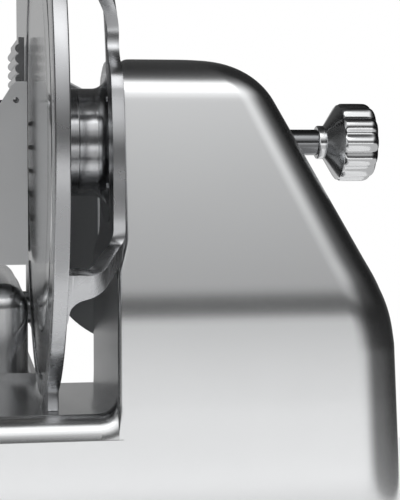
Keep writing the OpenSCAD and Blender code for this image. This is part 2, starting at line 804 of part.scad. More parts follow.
// Belt round both pulleys, its straight runs tangent to the pulleys
belt_gap = gap;
belt_steps = 24;
belt_span = norm([motor_back, motor_drop]);
belt_tilt = atan2(motor_back, motor_drop);
function belt_outline(extra) = let (
    small = pulley_small_r + belt_gap + extra,
    large = pulley_large_r + belt_gap + extra,
    spread = asin((large - small) / belt_span)
) concat(
    arc([0, 0], large, -spread, 180 + spread, belt_steps),
    arc([0, -belt_span], small, 180 + spread, 360 - spread, belt_steps)
);
module drive_belt() {
    color([0.1, 0.1, 0.1])
        translate([pulley_x + over + gap, axis_y, axis_z]) rotate([90, 0, 90]) rotate([0, 0, -belt_tilt])
            linear_extrude(pulley_w - 2 * over - 2 * gap) difference() {
                polygon(belt_outline(belt_t - 2 * belt_gap));
                polygon(belt_outline(0));
            }
}

// Run capacitor in a clip on top of the motor, and the control box on the bottom cover
capacitor_r = 16;
capacitor_l = 66;
clip_w = 20;
module run_capacitor() {
    color([0.85, 0.85, 0.85]) {
        x_rod(motor_x + cap_t, motor_y, motor_z + motor_r + capacitor_r + gap, capacitor_r, capacitor_l);
        difference() {
            box([motor_x + 2 * cap_t, motor_y - capacitor_r / 2, motor_z],
                [motor_x + 2 * cap_t + clip_w, motor_y + capacitor_r / 2, motor_z + motor_r + capacitor_r]);
            x_rod(motor_x, motor_y, motor_z, motor_r + seat, motor_l);
        }
    }
}
box_w = 100;
box_d = 80;
box_h = 34;
module control_box() {
    color([0.2, 0.2, 0.2]) difference() {
        box([base_left + 2 * foot_in, base_rear + foot_in, foot_h],
            [base_left + 2 * foot_in + box_w, base_rear + foot_in + box_d, foot_h + box_h]);
        box([base_left + 2 * foot_in + sheet, base_rear + foot_in + sheet, foot_h + sheet],
            [base_left + 2 * foot_in + box_w - sheet, base_rear + foot_in + box_d - sheet,
            foot_h + box_h - sheet]);
    }
}

// Switch plate with two sprung buttons on the hump's front face
button_out = 4;
button_stroke = 3;
module switch_plate() {
    color([0.15, 0.15, 0.15]) difference() {
        y_plate(block_front, button_out) polygon(rounded(
            [switch_x - switch_w / 2, switch_z - switch_h / 2],
            [switch_x + switch_w / 2, switch_z + switch_h / 2], boss_r));
        for (s = [-1, 1])
            y_rod(switch_x + s * button_pitch / 2, block_front - over, switch_z, button_r + gap,
                button_out + 2 * over);
    }
}
module button(s) {
    y_rod(switch_x + s * button_pitch / 2, block_front + button_stroke + gap, switch_z, button_r,
        button_out + gap);
    y_rod(switch_x + s * button_pitch / 2, block_front - 2 * wall, switch_z, button_hole_r,
        2 * wall + button_stroke + gap);
}
module start_button() color([0.1, 0.45, 0.2]) button(-1);
module stop_button() color([0.6, 0.08, 0.08]) button(1);

// Cable gland in the rear wall
gland_out = 18;
module cable_gland() {
    color([0.1, 0.1, 0.1]) difference() {
        union() {
            y_rod(gland_x, base_rear - over - gland_r / 2, gland_z, gland_r + 2 * over, gland_r / 2 + over);
            y_rod(gland_x, base_rear - gland_out, gland_z, gland_r - 2 * over, gland_out);
            y_rod(gland_x, base_rear - over, gland_z, gland_r - over, wall + 3 * over);
        }
        y_rod(gland_x, base_rear - gland_out - over, gland_z, m8_r, gland_out + 2 * wall);
    }
}

// Bronze bush for the tie rod
module rod_bush() {
    color([0.7, 0.52, 0.3]) difference() {
        axle(bush_x, bush_r, bush_l);
        axle(bush_x - over, rod_out_r + fit, bush_l + 2 * over);
    }
}

// Blade with a hollow centre and a one-sided ground edge
web_step = 2.2;
cover_gap = 1.5;
web_r = cover_r + cover_gap;
pilot_r = 20;
bevel_w = 12;
land = 0.3;
blade_screw_r = 28;
function blade_places() = [for (a = [0:90:270])
    [axis_y + blade_screw_r * cos(a + 45), axis_z + blade_screw_r * sin(a + 45)]];
module blade() {
    color([0.8, 0.8, 0.82]) difference() {
        on_axis() polygon([
            [pilot_r + seat, cut_x + web_step],
            [web_r, cut_x + web_step],
            [web_r + web_step, cut_x],
            [blade_r, cut_x],
            [blade_r, cut_x + land],
            [blade_r - bevel_w, cut_x + blade_t],
            [web_r + 2 * web_step, cut_x + blade_t],
            [web_r + web_step / 2, cut_x + blade_t + web_step],
            [pilot_r + seat, cut_x + blade_t + web_step]
        ]);
        for (p = blade_places()) translate([cut_x + web_step, p[0], p[1]]) rotate([0, 90, 0])
            cylinder(r1 = m5_head_r + seat, r2 = m5_r + seat, h = blade_t);
    }
}
hub_x = cut_x + web_step + blade_t;
hub_l = neck_x - hub_x - over;
pocket_r = 10;
pocket_l = 5;
module blade_hub() {
    color([0.4, 0.4, 0.42]) difference() {
        union() {
            axle(hub_x, neck_r, hub_l);
            axle(hub_x - blade_t, pilot_r, blade_t + over);
        }
        axle(hub_x - blade_t - over, pocket_r, pocket_l + over);
        axle(hub_x - blade_t, bearing_bore + seat, hub_l + blade_t + over);
        for (p = blade_places()) x_rod(hub_x - over, p[0], p[1], m5_r + seat, hub_l - 2 * over);
    }
}
spindle_x = hub_x - blade_t + pocket_l;
spindle_out = 6;
spindle_end = pulley_x + pulley_w + spindle_out;
module blade_spindle() {
    color("lightgray") difference() {
        union() {
            axle(spindle_x, bearing_bore, spindle_end - spindle_x);
            axle(pulley_x + pulley_w + seat, bearing_bore + wall, wall);
        }
        axle(spindle_x - over, rod_r + fit, spindle_end - spindle_x + 2 * over);
    }
}
web_holes = 5;
web_hole_r = 6;
web_hole_pcr = (bearing_bore + pulley_large_r) / 2;
module blade_pulley() {
    color("lightgray") difference() {
        union() {
            axle(pulley_x, pulley_large_r, pulley_w);
            axle(pulley_x, pulley_large_r + belt_t - over, over);
            axle(pulley_x + pulley_w - over, pulley_large_r + belt_t - over, over);
        }
        axle(pulley_x - over, bearing_bore + seat, pulley_w + 2 * over);
        for (i = [0:web_holes - 1])
            x_rod(pulley_x - over, axis_y + web_hole_pcr * cos(i * 360 / web_holes),
                axis_z + web_hole_pcr * sin(i * 360 / web_holes), web_hole_r, pulley_w + 2 * over);
    }
}
module blade_screws() {
    color("darkgray") for (p = blade_places()) {
        translate([cut_x + web_step, p[0], p[1]]) rotate([0, 90, 0])
            cylinder(r1 = m5_head_r, r2 = m5_r, h = blade_t);
        x_rod(hub_x - over / 2, p[0], p[1], m5_r, hub_l - 3 * over);
    }
}

// Polished blade cover, drawn on by the tie rod
cover_proud = 1.5;
cover_room = 0.9;
cover_rim = 0.2;
cover_slope = 14;
cover_boss_r = 8;
cover_boss_l = 4;
module blade_cover() {
    color([0.85, 0.85, 0.86]) difference() {
        on_axis() polygon([
            [0, cut_x + web_step - cover_room],
            [cover_r, cut_x + web_step - cover_room],
            [cover_r, cut_x - cover_rim],
            [cover_r - cover_slope, cut_x - cover_proud],
            [0, cut_x - cover_proud]
        ]);
        axle(cut_x, rod_r + fit, cover_boss_l * 2);
    }
    color([0.85, 0.85, 0.86]) difference() {
        axle(cut_x + web_step - cover_room, cover_boss_r, cover_boss_l);
        axle(cut_x, rod_r + fit, cover_boss_l * 3);
    }
}

// Tie rod and its fluted knob
knob_x = wall_x + knob_reach;
collar_l = 5.3;
collar_r = 11;
cone_l = 8.9;
grip_x = knob_x + collar_l + cone_l;
rod_step_in = 6;
rod_step_x = bush_x - rod_step_in;
knob_bore = 22;
module tie_rod() {
    color("lightgray") {
        axle(cut_x + over / 2, rod_r, rod_step_x - cut_x);
        axle(rod_step_x, rod_out_r, knob_x - rod_step_x);
        axle(knob_x - over, rod_r, knob_bore);
    }
}
flute_r = 7.2;
flute_stand = 4.2;
flute_out = grip_r + flute_stand;
grip_round = 5;
module tie_rod_knob() {
    color([0.75, 0.75, 0.76]) difference() {
        on_axis() polygon(concat(
            [[0, knob_x], [collar_r, knob_x], [collar_r, knob_x + collar_l], [grip_r - 1, grip_x]],
            arc([grip_r - grip_round, grip_x + grip_l - grip_round], grip_round, 0, 90, 6),
            [[0, grip_x + grip_l]]
        ));
        for (i = [0:lobes - 1]) translate([grip_x, axis_y, axis_z]) rotate([360 * (i + 0.5) / lobes, 0, 0])
            translate([0, flute_out, 0]) rotate([0, 90, 0]) cylinder(r = flute_r, h = grip_l + over);
        axle(knob_x - over, rod_r + seat, knob_bore + over);
    }
}

// Gauge plate in front of the blade, its bracket and two shafts through the pedestal
gauge_low_in = 70;
gauge_top_in = 10;
gauge_low = gauge_low_in - blade_r;
gauge_high = blade_r - gauge_top_in;
gauge_x = cut_x - over;
gauge_r = 12;
bracket_side = 24;
bracket_low = shaft_1_y - bracket_side;
bracket_high = shaft_2_y + bracket_side;
arm_top = 60;
gauge_arm_t = 10;
module gauge_plate() {
    color([0.78, 0.78, 0.8]) x_plate(gauge_x, gauge_t) difference() {
        polygon(rounded([axis_y + blade_r / 4, axis_z + gauge_low],
            [base_front - gauge_back, axis_z + gauge_high], gauge_r));
        translate([axis_y, axis_z]) circle(r = guard_in + over, $fn = 128);
    }
}
bush_reach = 4;
module gauge_bracket() {
    color("silver") difference() {
        union() {
            x_plate(gauge_x + gauge_t, gauge_arm_t) polygon([
                [bracket_low, shaft_z - shaft_r - wall],
                [bracket_high, shaft_z - shaft_r - wall],
                [bracket_high, axis_z],
                [bracket_high - arm_top / 2, axis_z + arm_top],
                [bracket_low + arm_top / 2, axis_z + arm_top],
                [bracket_low, axis_z]
            ]);
        }
        x_rod(gauge_x, shaft_1_y, shaft_z, shaft_r + seat, gauge_t + 2 * gauge_arm_t);
        x_rod(gauge_x, shaft_2_y, shaft_z, shaft_small_r + seat, gauge_t + 2 * gauge_arm_t);
    }
}
module gauge_shafts() {
    color("lightgray") {
        x_rod(pedestal_left - slice_max - 3 * over, shaft_1_y, shaft_z, shaft_r,
            gauge_x + gauge_t + gauge_arm_t - pedestal_left + slice_max + 3 * over);
        x_rod(pedestal_left - slice_max - 3 * over, shaft_2_y, shaft_z, shaft_small_r,
            gauge_x + gauge_t + gauge_arm_t - pedestal_left + slice_max + 3 * over);
    }
}
module gauge_bushes() {
    color([0.7, 0.52, 0.3]) for (s = [[shaft_1_y, shaft_r], [shaft_2_y, shaft_small_r]]) difference() {
        x_rod(pedestal_left, s[0], shaft_z, s[1] + shaft_wall, pedestal_w);
        x_rod(pedestal_left - over, s[0], shaft_z, s[1] + fit, pedestal_w + 2 * over);
    }
}

// Thickness dial and its shaft with the cam
dial_l = 24;
dial_skirt = 5;
dial_flutes = 16;
cam_r = 10;
cam_off = 3;
cam_t = 6;
module thickness_dial() {
    color([0.1, 0.1, 0.1]) difference() {
        union() {
            y_rod(dial_x, pedestal_end + gap, shaft_z, dial_r, dial_skirt);
            y_rod(dial_x, pedestal_end + gap, shaft_z, dial_r - wall, dial_l);
        }
        for (i = [0:dial_flutes - 1]) translate([dial_x, pedestal_end + gap + dial_skirt, shaft_z])
            rotate([0, i * 360 / dial_flutes, 0]) translate([dial_r - wall + over, 0, 0]) rotate([-90, 0, 0])
                cylinder(r = 2 * over, h = dial_l, $fn = 24);
        y_rod(dial_x, pedestal_end, shaft_z, dial_shaft_r + seat, dial_l / 2);
    }
}
module dial_shaft() {
    color("lightgray") {
        y_rod(dial_x, pedestal_end - 4 * wall, shaft_z, dial_shaft_r, 4 * wall + dial_l / 2 - over);
        y_rod(dial_x + cam_off, pedestal_end - 3 * wall, shaft_z, cam_r, cam_t);
    }
}

// Carriage: rail on two brackets, block with bushes, arm, roller and tray
rail_end = 2;
rail_rear = base_rear + lip_w + rail_end;
rail_front = base_front - lip_w - rail_end;
slider_in = 18;
slider_y = axis_y + tray_front + slider_in;
slider_half = 22;
slider_h = 25;
bush_t = 3;
bush_len = 25;
module carriage_rail() {
    color("lightgray") y_rod(rail_x, rail_rear, rail_z, rail_r, rail_front - rail_rear);
}
module rail_brackets() {
    color("silver") for (y = [rail_rear, rail_front - bracket_t]) difference() {
        box([rail_x - bracket_w / 2, y, floor_z],
            [rail_x + bracket_w / 2, y + bracket_t, rail_z + rail_r + wall]);
        y_rod(rail_x, y - over, rail_z, rail_r + seat, bracket_t + 2 * over);
    }
}
slider_top = rail_z + slider_h;
tray_z = plinth_top + tray_h;
roller_r = 10;
roller_t = 9;
roller_in = 48;
roller_x = rail_x + roller_in;
roller_axle_r = 4;
outrigger_w = 22;
module carriage_block() {
    color("silver") difference() {
        union() {
            box([rail_x - slider_half, slider_y, rail_z - slider_half + 3 * over],
                [rail_x + slider_half, slider_y + slider_l, slider_top]);
            box([rail_x, slider_y + slider_l / 2 - outrigger_w / 2, slider_top - 2 * wall],
                [roller_x + roller_t + 2 * wall, slider_y + slider_l / 2 + outrigger_w / 2, slider_top]);
            box([roller_x + roller_t + wall, slider_y + slider_l / 2 - outrigger_w / 2,
                floor_z + roller_r - wall],
                [roller_x + roller_t + 2 * wall, slider_y + slider_l / 2 + outrigger_w / 2, slider_top]);
            x_rod(roller_x - over, slider_y + slider_l / 2, floor_z + roller_r + gap, roller_axle_r,
                roller_t + wall + 3 * over);
        }
        y_rod(rail_x, slider_y - over, rail_z, rail_r + bush_t, slider_l + 2 * over);
    }
}
module carriage_bushes() {
    color([0.7, 0.52, 0.3]) for (y = [slider_y, slider_y + slider_l - bush_len]) difference() {
        y_rod(rail_x, y, rail_z, rail_r + bush_t - seat, bush_len);
        y_rod(rail_x, y - over, rail_z, rail_r + fit, bush_len + 2 * over);
    }
}
arm_in = 4;
module carriage_arm() {
    color("silver") {
        box([rail_x - slider_half + arm_in, slider_y + arm_in, slider_top],
            [rail_x + slider_half - arm_in, slider_y + slider_l - arm_in, tray_z - sheet - wall]);
        box([rail_x - 2 * slider_half, slider_y - slider_half, tray_z - sheet - wall],
            [rail_x + 2 * slider_half, slider_y + slider_l + slider_half, tray_z - sheet]);
    }
}
module track_roller() {
    color([0.9, 0.9, 0.88]) difference() {
        x_rod(roller_x, slider_y + slider_l / 2, floor_z + roller_r + gap, roller_r, roller_t);
        x_rod(roller_x - over, slider_y + slider_l / 2, floor_z + roller_r + gap, roller_axle_r + fit,
            roller_t + 2 * over);
    }
}

tray_right = gauge_x - tray_gap;
tray_left = tray_right - tray_w;
tray_rear = axis_y + tray_front;
tray_end = tray_rear + tray_d;
ear_top = tray_z + ear_h;
ear_w = 7;
ear_slope = [18, 29];
ear_nick = [3, 2];
tray_low_wall = 45;
pusher_in = 15;
pusher_below = 7;
pusher_y = tray_rear + pusher_in;
pusher_z = ear_top - pusher_below;
ear_hole = [7.5, 12.5];
module product_tray() {
    color([0.72, 0.73, 0.74]) {
        difference() {
            y_plate(tray_rear, sheet) polygon([
                [tray_right, tray_z - sheet],
                [tray_right, ear_top],
                [tray_right - ear_w, ear_top],
                [tray_right - ear_w - ear_nick[0], ear_top - ear_nick[1]],
                [tray_right - ear_slope[0], ear_top - ear_slope[1] / 2],
                [tray_right - 2 * ear_slope[0], ear_top - ear_slope[1]],
                [tray_left + ear_slope[0], ear_top - ear_slope[1]],
                [tray_left, ear_top - 2 * ear_slope[1]],
                [tray_left, tray_z - sheet]
            ]);
            y_rod(tray_right - ear_hole[0], tray_rear - over, ear_top - ear_hole[1], m4_r, sheet + 2 * over);
        }
        box([tray_left, tray_rear, tray_z - sheet], [tray_right, tray_end, tray_z]);
        box([tray_left, tray_end - sheet, tray_z - sheet], [tray_right, tray_end, tray_z + tray_low_wall]);
        box([tray_left, tray_rear, tray_z - sheet], [tray_left + sheet, tray_end, tray_z + tray_low_wall]);
    }
}
rod_mount_t = 8;
rod_mount_h = 11;
module pusher_rod() {
    color("lightgray") {
        x_rod(tray_left + sheet, pusher_y, pusher_z - rod_mount_h, pusher_rod_r, tray_w - sheet - ear_w);
        for (x = [tray_left + sheet, tray_right - ear_w - rod_mount_t])
            box([x, tray_rear + sheet, pusher_z - rod_mount_h - pusher_rod_r],
                [x + rod_mount_t, pusher_y, pusher_z - rod_mount_h + pusher_rod_r]);
    }
}
handle_r = 13;
handle_l = 92;
module carriage_handle() {
    color([0.1, 0.1, 0.1]) {
        z_rod(tray_left - handle_r - wall, tray_end - 3 * handle_r, tray_z + tray_low_wall / 2, handle_r,
            handle_l);
        box([tray_left - handle_r - wall, tray_end - 3 * handle_r - wall, tray_z + tray_low_wall / 2],
            [tray_left, tray_end - 3 * handle_r + wall, tray_z + tray_low_wall]);
    }
}

// Pusher: hub on the rod, swinging press plate with spikes, and its grip
hub_tube_r = 11;
hub_tube_l = 36;
press_face = 2;
press_x = tray_right - press_t + press_face;
press_arm_w = 14;
pusher_hub_x = tray_right - ear_w - rod_mount_t - press_arm_w - hub_tube_l;
rod_z = pusher_z - rod_mount_h;
module pusher_hub() {
    color([0.1, 0.1, 0.1]) difference() {
        x_rod(pusher_hub_x, pusher_y, rod_z, hub_tube_r, hub_tube_l);
        x_rod(pusher_hub_x - over, pusher_y, rod_z, pusher_rod_r + fit, hub_tube_l + 2 * over);
    }
}
press_y = [20, 148];
press_low = 8;
press_high = 50;
rib_pitch = 7;
rib_start_share = 0.25;
rib_r = 3.2;
rib_count = floor((press_high + rod_z - tray_z - press_low) / rib_pitch);
module press_plate() {
    color([0.7, 0.7, 0.71]) difference() {
        union() {
            box([press_x, pusher_y + press_y[0], tray_z + press_low],
                [press_x + press_t - 2 * over, pusher_y + press_y[1], rod_z + press_high]);
            for (i = [1:rib_count])
                y_rod(press_x + rib_r / 4, pusher_y + press_y[0],
                    tray_z + press_low + rib_pitch * (i - rib_start_share), rib_r, press_y[1] - press_y[0]);
            for (x = [pusher_hub_x - press_arm_w / 2 - gap, pusher_hub_x + hub_tube_l + gap])
                difference() {
                    union() {
                        x_rod(x, pusher_y, rod_z, hub_tube_r, press_arm_w / 2);
                        box([x, pusher_y, rod_z - wall],
                            [x + press_arm_w / 2, pusher_y + 2 * press_arm_w, rod_z + wall]);
                    }
                }
            box([pusher_hub_x - press_arm_w / 2 - gap, pusher_y + press_arm_w, rod_z - wall],
                [press_x + over, pusher_y + 2 * press_arm_w, rod_z + wall]);
        }
        x_rod(tray_left, pusher_y, rod_z, pusher_rod_r + fit, tray_w);
    }
}
spike_r = 2.2;
spike_h = 1;
spike_cols = 6;
spike_rows = 5;
module press_spikes() {
    color("lightgray") for (i = [1:spike_cols]) for (j = [1:spike_rows])
        translate([press_x + press_t - 2 * over,
            pusher_y + press_y[0] + i * (press_y[1] - press_y[0]) / (spike_cols + 1),
            tray_z + press_low + j * (rod_z - tray_z) / (spike_rows + 1)]) rotate([0, 90, 0])
                cylinder(r1 = spike_r, r2 = spike_r / 4, h = spike_h, $fn = 16);
}
pusher_grip_r = 13;
pusher_grip_l = 62;
module pusher_grip() {
    color([0.1, 0.1, 0.1]) {
        x_rod(press_x - rib_r - pusher_grip_l - wall, pusher_y + 3 * press_y[1] / 4,
            rod_z - 2 * pusher_grip_r,
            pusher_grip_r, pusher_grip_l);
        x_rod(press_x - rib_r - wall - over, pusher_y + 3 * press_y[1] / 4, rod_z - 2 * pusher_grip_r,
            pusher_grip_r / 2, wall + rib_r / 4 + over);
    }
}

// Sharpener over the gap in the guard ring: cover, two sprung spindles and their stones
lug_y = 35;
lug_w = 14;
sharp_left = 24;
sharp_right = 30;
sharp_x = [cut_x - sharp_left, cut_x + sharp_right];
sharp_gap = 1.5;
sharp_h = 40.5;
sharp_low = blade_r + sharp_gap;
sharp_high = sharp_low + sharp_h;
sharp_wall = 3;
stone_r = 18;
stone_t = 7;
stone_lift = 12;
stone_gap = 1.5;
push_stroke = 1.2;
push_r = 9;
push_l = 8;
stone_axle_r = 4;
stone_axle_end = 5;
function stone_z() = axis_z + blade_r + stone_lift;
module sharpener_cover() {
    color("silver") difference() {
        union() {
            box([sharp_x[0], axis_y - sharp_half + gap, axis_z + sharp_low],
                [sharp_x[1], axis_y + sharp_half - gap, axis_z + sharp_high]);
            for (s = [-1, 1])
                box([guard_x, axis_y + s * lug_y - lug_w / 2 - over, axis_z + sharp_low],
                    [guard_x + guard_w, axis_y + s * lug_y + lug_w / 2, axis_z + sharp_high - lug_w]);
        }
        box([sharp_x[0] + sharp_wall, axis_y - sharp_half + gap + sharp_wall, axis_z],
            [sharp_x[1] - sharp_wall, axis_y + sharp_half - gap - sharp_wall,
            axis_z + sharp_high - sharp_wall]);
        difference() {
            axle(guard_x - over, guard_out + seat, guard_w + 2 * over);
            box([guard_x - 2 * over, axis_y - sharp_half + gap, axis_z],
                [guard_x + guard_w + 2 * over, axis_y + sharp_half - gap, axis_z + blade_d]);
        }
        x_rod(sharp_x[0] - over, axis_y, stone_z(), stone_axle_r + fit, sharp_x[1] - sharp_x[0] + 2 * over);
        for (s = [-1, 1])
            z_rod(guard_x + guard_w / 2, axis_y + s * lug_y, axis_z + blade_r, m4_r + seat, blade_r / 2);
    }
}
module sharpener_screws() {
    color("darkgray") for (s = [-1, 1]) {
        z_rod(guard_x + guard_w / 2, axis_y + s * lug_y, axis_z + guard_in + over, m4_r,
            sharp_high - lug_w - guard_in - over);
        z_rod(guard_x + guard_w / 2, axis_y + s * lug_y, axis_z + sharp_high - lug_w, m4_head_r, m4_head_h);
    }
}
module honing_spindle() {
    color([0.1, 0.1, 0.1]) {
        x_rod(sharp_x[0] - push_l - push_stroke - gap, axis_y, stone_z(), push_r, push_l);
        x_rod(sharp_x[0] - push_stroke - 2 * gap, axis_y, stone_z(), stone_axle_r,
            cut_x - stone_gap - stone_axle_end + over - sharp_x[0] + push_stroke);
    }
}
module honing_stone() {
    color([0.75, 0.7, 0.62]) difference() {
        x_rod(cut_x - stone_gap - stone_t, axis_y, stone_z(), stone_r, stone_t);
        x_rod(cut_x - stone_gap - stone_t - over, axis_y, stone_z(), stone_axle_r + fit, stone_t);
    }
}
module grinding_spindle() {
    color([0.1, 0.1, 0.1]) {
        x_rod(sharp_x[1] + push_stroke + gap, axis_y, stone_z(), push_r, push_l);
        x_rod(cut_x + blade_t + stone_gap + stone_axle_end, axis_y, stone_z(), stone_axle_r,
            sharp_x[1] + push_stroke + 2 * gap - cut_x - blade_t - stone_gap - stone_axle_end);
    }
}
module grinding_stone() {
    color([0.5, 0.5, 0.52]) difference() {
        x_rod(cut_x + blade_t + stone_gap, axis_y, stone_z(), stone_r, stone_t);
        x_rod(cut_x + blade_t + stone_gap + over, axis_y, stone_z(), stone_axle_r + fit, stone_t);
    }
}

body_casting();
motor_hump();
gauge_pedestal();
bottom_cover();
cover_screws();
rubber_feet();
foot_studs();
hub_housing();
wall_screws();
spindle_bearings();
ring_guard();
deflector();
deflector_screws();
motor_case();
motor_end_caps();
motor_pillars();
drive_belt();
run_capacitor();
control_box();
switch_plate();
cable_gland();
rod_bush();
carriage_rail();
rail_brackets();
gauge_bushes();
sharpener_cover();
sharpener_screws();
blade();
blade_hub();
blade_spindle();
blade_pulley();
blade_screws();
tie_rod();
tie_rod_knob();
blade_cover();
motor_shaft();
motor_pulley();
motor_fan();
gauge_plate();
gauge_bracket();
gauge_shafts();
thickness_dial();
dial_shaft();
carriage_block();
carriage_bushes();
carriage_arm();
product_tray();
pusher_rod();
carriage_handle();
track_roller();
pusher_hub();
press_plate();
press_spikes();
pusher_grip();
start_button();
stop_button();
honing_spindle();
honing_stone();
grinding_spindle();
grinding_stone();
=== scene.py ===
import bmesh
import bpy
import json
import math
from mathutils import Matrix, Vector

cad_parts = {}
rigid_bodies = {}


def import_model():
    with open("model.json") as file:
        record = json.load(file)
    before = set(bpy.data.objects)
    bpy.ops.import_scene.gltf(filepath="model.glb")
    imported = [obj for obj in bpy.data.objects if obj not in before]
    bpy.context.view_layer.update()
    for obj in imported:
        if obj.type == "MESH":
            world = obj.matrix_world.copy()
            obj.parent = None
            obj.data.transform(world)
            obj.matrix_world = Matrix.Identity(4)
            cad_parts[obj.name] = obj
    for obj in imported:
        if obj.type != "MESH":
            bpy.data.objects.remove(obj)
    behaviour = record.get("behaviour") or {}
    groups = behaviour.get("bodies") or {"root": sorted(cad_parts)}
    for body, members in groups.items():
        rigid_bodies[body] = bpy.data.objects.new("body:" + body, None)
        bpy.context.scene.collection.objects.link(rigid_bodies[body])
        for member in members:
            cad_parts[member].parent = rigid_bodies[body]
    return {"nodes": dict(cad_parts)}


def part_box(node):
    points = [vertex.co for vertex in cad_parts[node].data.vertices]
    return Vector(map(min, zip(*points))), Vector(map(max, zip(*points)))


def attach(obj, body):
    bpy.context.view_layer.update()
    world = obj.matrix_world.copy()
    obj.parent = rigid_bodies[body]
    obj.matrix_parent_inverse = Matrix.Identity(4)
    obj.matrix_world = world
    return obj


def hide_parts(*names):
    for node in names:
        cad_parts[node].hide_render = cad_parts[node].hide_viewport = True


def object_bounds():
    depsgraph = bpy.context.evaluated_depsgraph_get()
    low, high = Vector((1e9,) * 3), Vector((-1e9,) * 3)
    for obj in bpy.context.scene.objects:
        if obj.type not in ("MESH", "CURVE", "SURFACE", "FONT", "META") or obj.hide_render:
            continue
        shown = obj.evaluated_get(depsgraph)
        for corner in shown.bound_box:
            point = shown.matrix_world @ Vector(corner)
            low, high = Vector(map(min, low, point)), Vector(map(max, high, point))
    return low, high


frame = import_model()
cad_low, cad_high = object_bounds()
nodes = frame["nodes"]
for leftover in [o for o in bpy.data.objects if o.name in ("Cube", "Light", "Camera")]:
    bpy.data.objects.remove(leftover)


# Camera: a long lens close behind the machine, level with the blade's axis and a little to its
# tray side, turned towards the hump so that the knob is just in the picture on the right.
def placed(name, data):
    """A new object in the scene, at the origin."""
    made = bpy.data.objects.new(name, data)
    bpy.context.scene.collection.objects.link(made)
    return made


eye = Vector((-0.242, -0.945, 0.236))
lens_px, lens_axis_px, picture_px = 1575, (-55, 141), (400, 500)
camera_data = bpy.data.cameras.new("camera")
camera_data.sensor_width = 36
camera_data.lens = camera_data.sensor_width * lens_px / picture_px[1]
camera = placed("camera", camera_data)
camera.location = eye
middle = Vector((picture_px[0] / 2 - lens_axis_px[0], lens_px,
                 lens_axis_px[1] - picture_px[1] / 2))
camera.rotation_euler = middle.to_track_quat("-Z", "Y").to_euler()
bpy.context.scene.camera = camera
bpy.context.scene.view_settings.view_transform = "Standard"


# Motor hump: the tall part of the aluminium casting, shaped by hand grinding before it is satin
# anodised. Its rear face leans, its right flank slopes towards the knob, and every corner between
# them is a soft round. It is drawn here in millimetres, as level sections joined upwards.
def arc(centre, radius, start, end, steps):
    """Points on an arc, in degrees from the first axis."""
    turns = [math.radians(start + (end - start) * i / steps) for i in range(steps + 1)]
    return [(centre[0] + radius * math.cos(t), centre[1] + radius * math.sin(t)) for t in turns]


def outline(bm, points):
    """A closed loop of edges through the points."""
    corners = [bm.verts.new(p) for p in points]
    return [bm.edges.new((a, b)) for a, b in zip(corners, corners[1:] + corners[:1])]


def loft(bm, sections):
    """A closed skin through outlines that have the same number of points."""
    loops = [outline(bm, points) for points in sections]
    for first, second in zip(loops, loops[1:]):
        bmesh.ops.bridge_loops(bm, edges=first + second)
    for loop in (loops[0], loops[-1]):
        bmesh.ops.contextual_create(bm, geom=loop)


def piece(name, bm, material, body, slot, *replaced, sharp=35, weighted=False):
    """Ends a piece drawn in millimetres: closes it, sets its finish and body."""
    bmesh.ops.remove_doubles(bm, verts=bm.verts, dist=0.002)
    bmesh.ops.recalc_face_normals(bm, faces=bm.faces)
    bmesh.ops.scale(bm, vec=(0.001, 0.001, 0.001), verts=bm.verts)
    mesh = bpy.data.meshes.new(name)
    bm.to_mesh(mesh)
    bm.free()
    mesh.shade_smooth()
    mesh.set_sharp_from_angle(angle=math.radians(sharp))
    mesh.materials.append(material)
    made = placed(name, mesh)
    if weighted:
        firm = made.modifiers.new("flat faces stay flat", "WEIGHTED_NORMAL")
        firm.keep_sharp = True
    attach(made, body)
    if replaced:
        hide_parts(*replaced)
    return made


def linear(code, alpha=1.0):
    """The linear colour of an sRGB hex code."""
    parts = [int(code[i:i + 2], 16) / 255 for i in (1, 3, 5)]
    return [p / 12.92 if p <= 0.04045 else ((p + 0.055) / 1.055) ** 2.4 for p in parts] + [alpha]


def add(tree, kind, sockets=None, **settings):
    """One shader node with its settings, and its sockets set or linked."""
    made = tree.nodes.new(kind)
    for name, value in settings.items():
        setattr(made, name, value)
    for name, value in (sockets or {}).items():
        if isinstance(value, bpy.types.NodeSocket):
            tree.links.new(value, made.inputs[name])
        else:
            made.inputs[name].default_value = value
    return made


def start_material(name):
    """An empty node material."""
    made = bpy.data.materials.new(name)
    made.use_nodes = True
    made.node_tree.nodes.clear()
    return made, made.node_tree


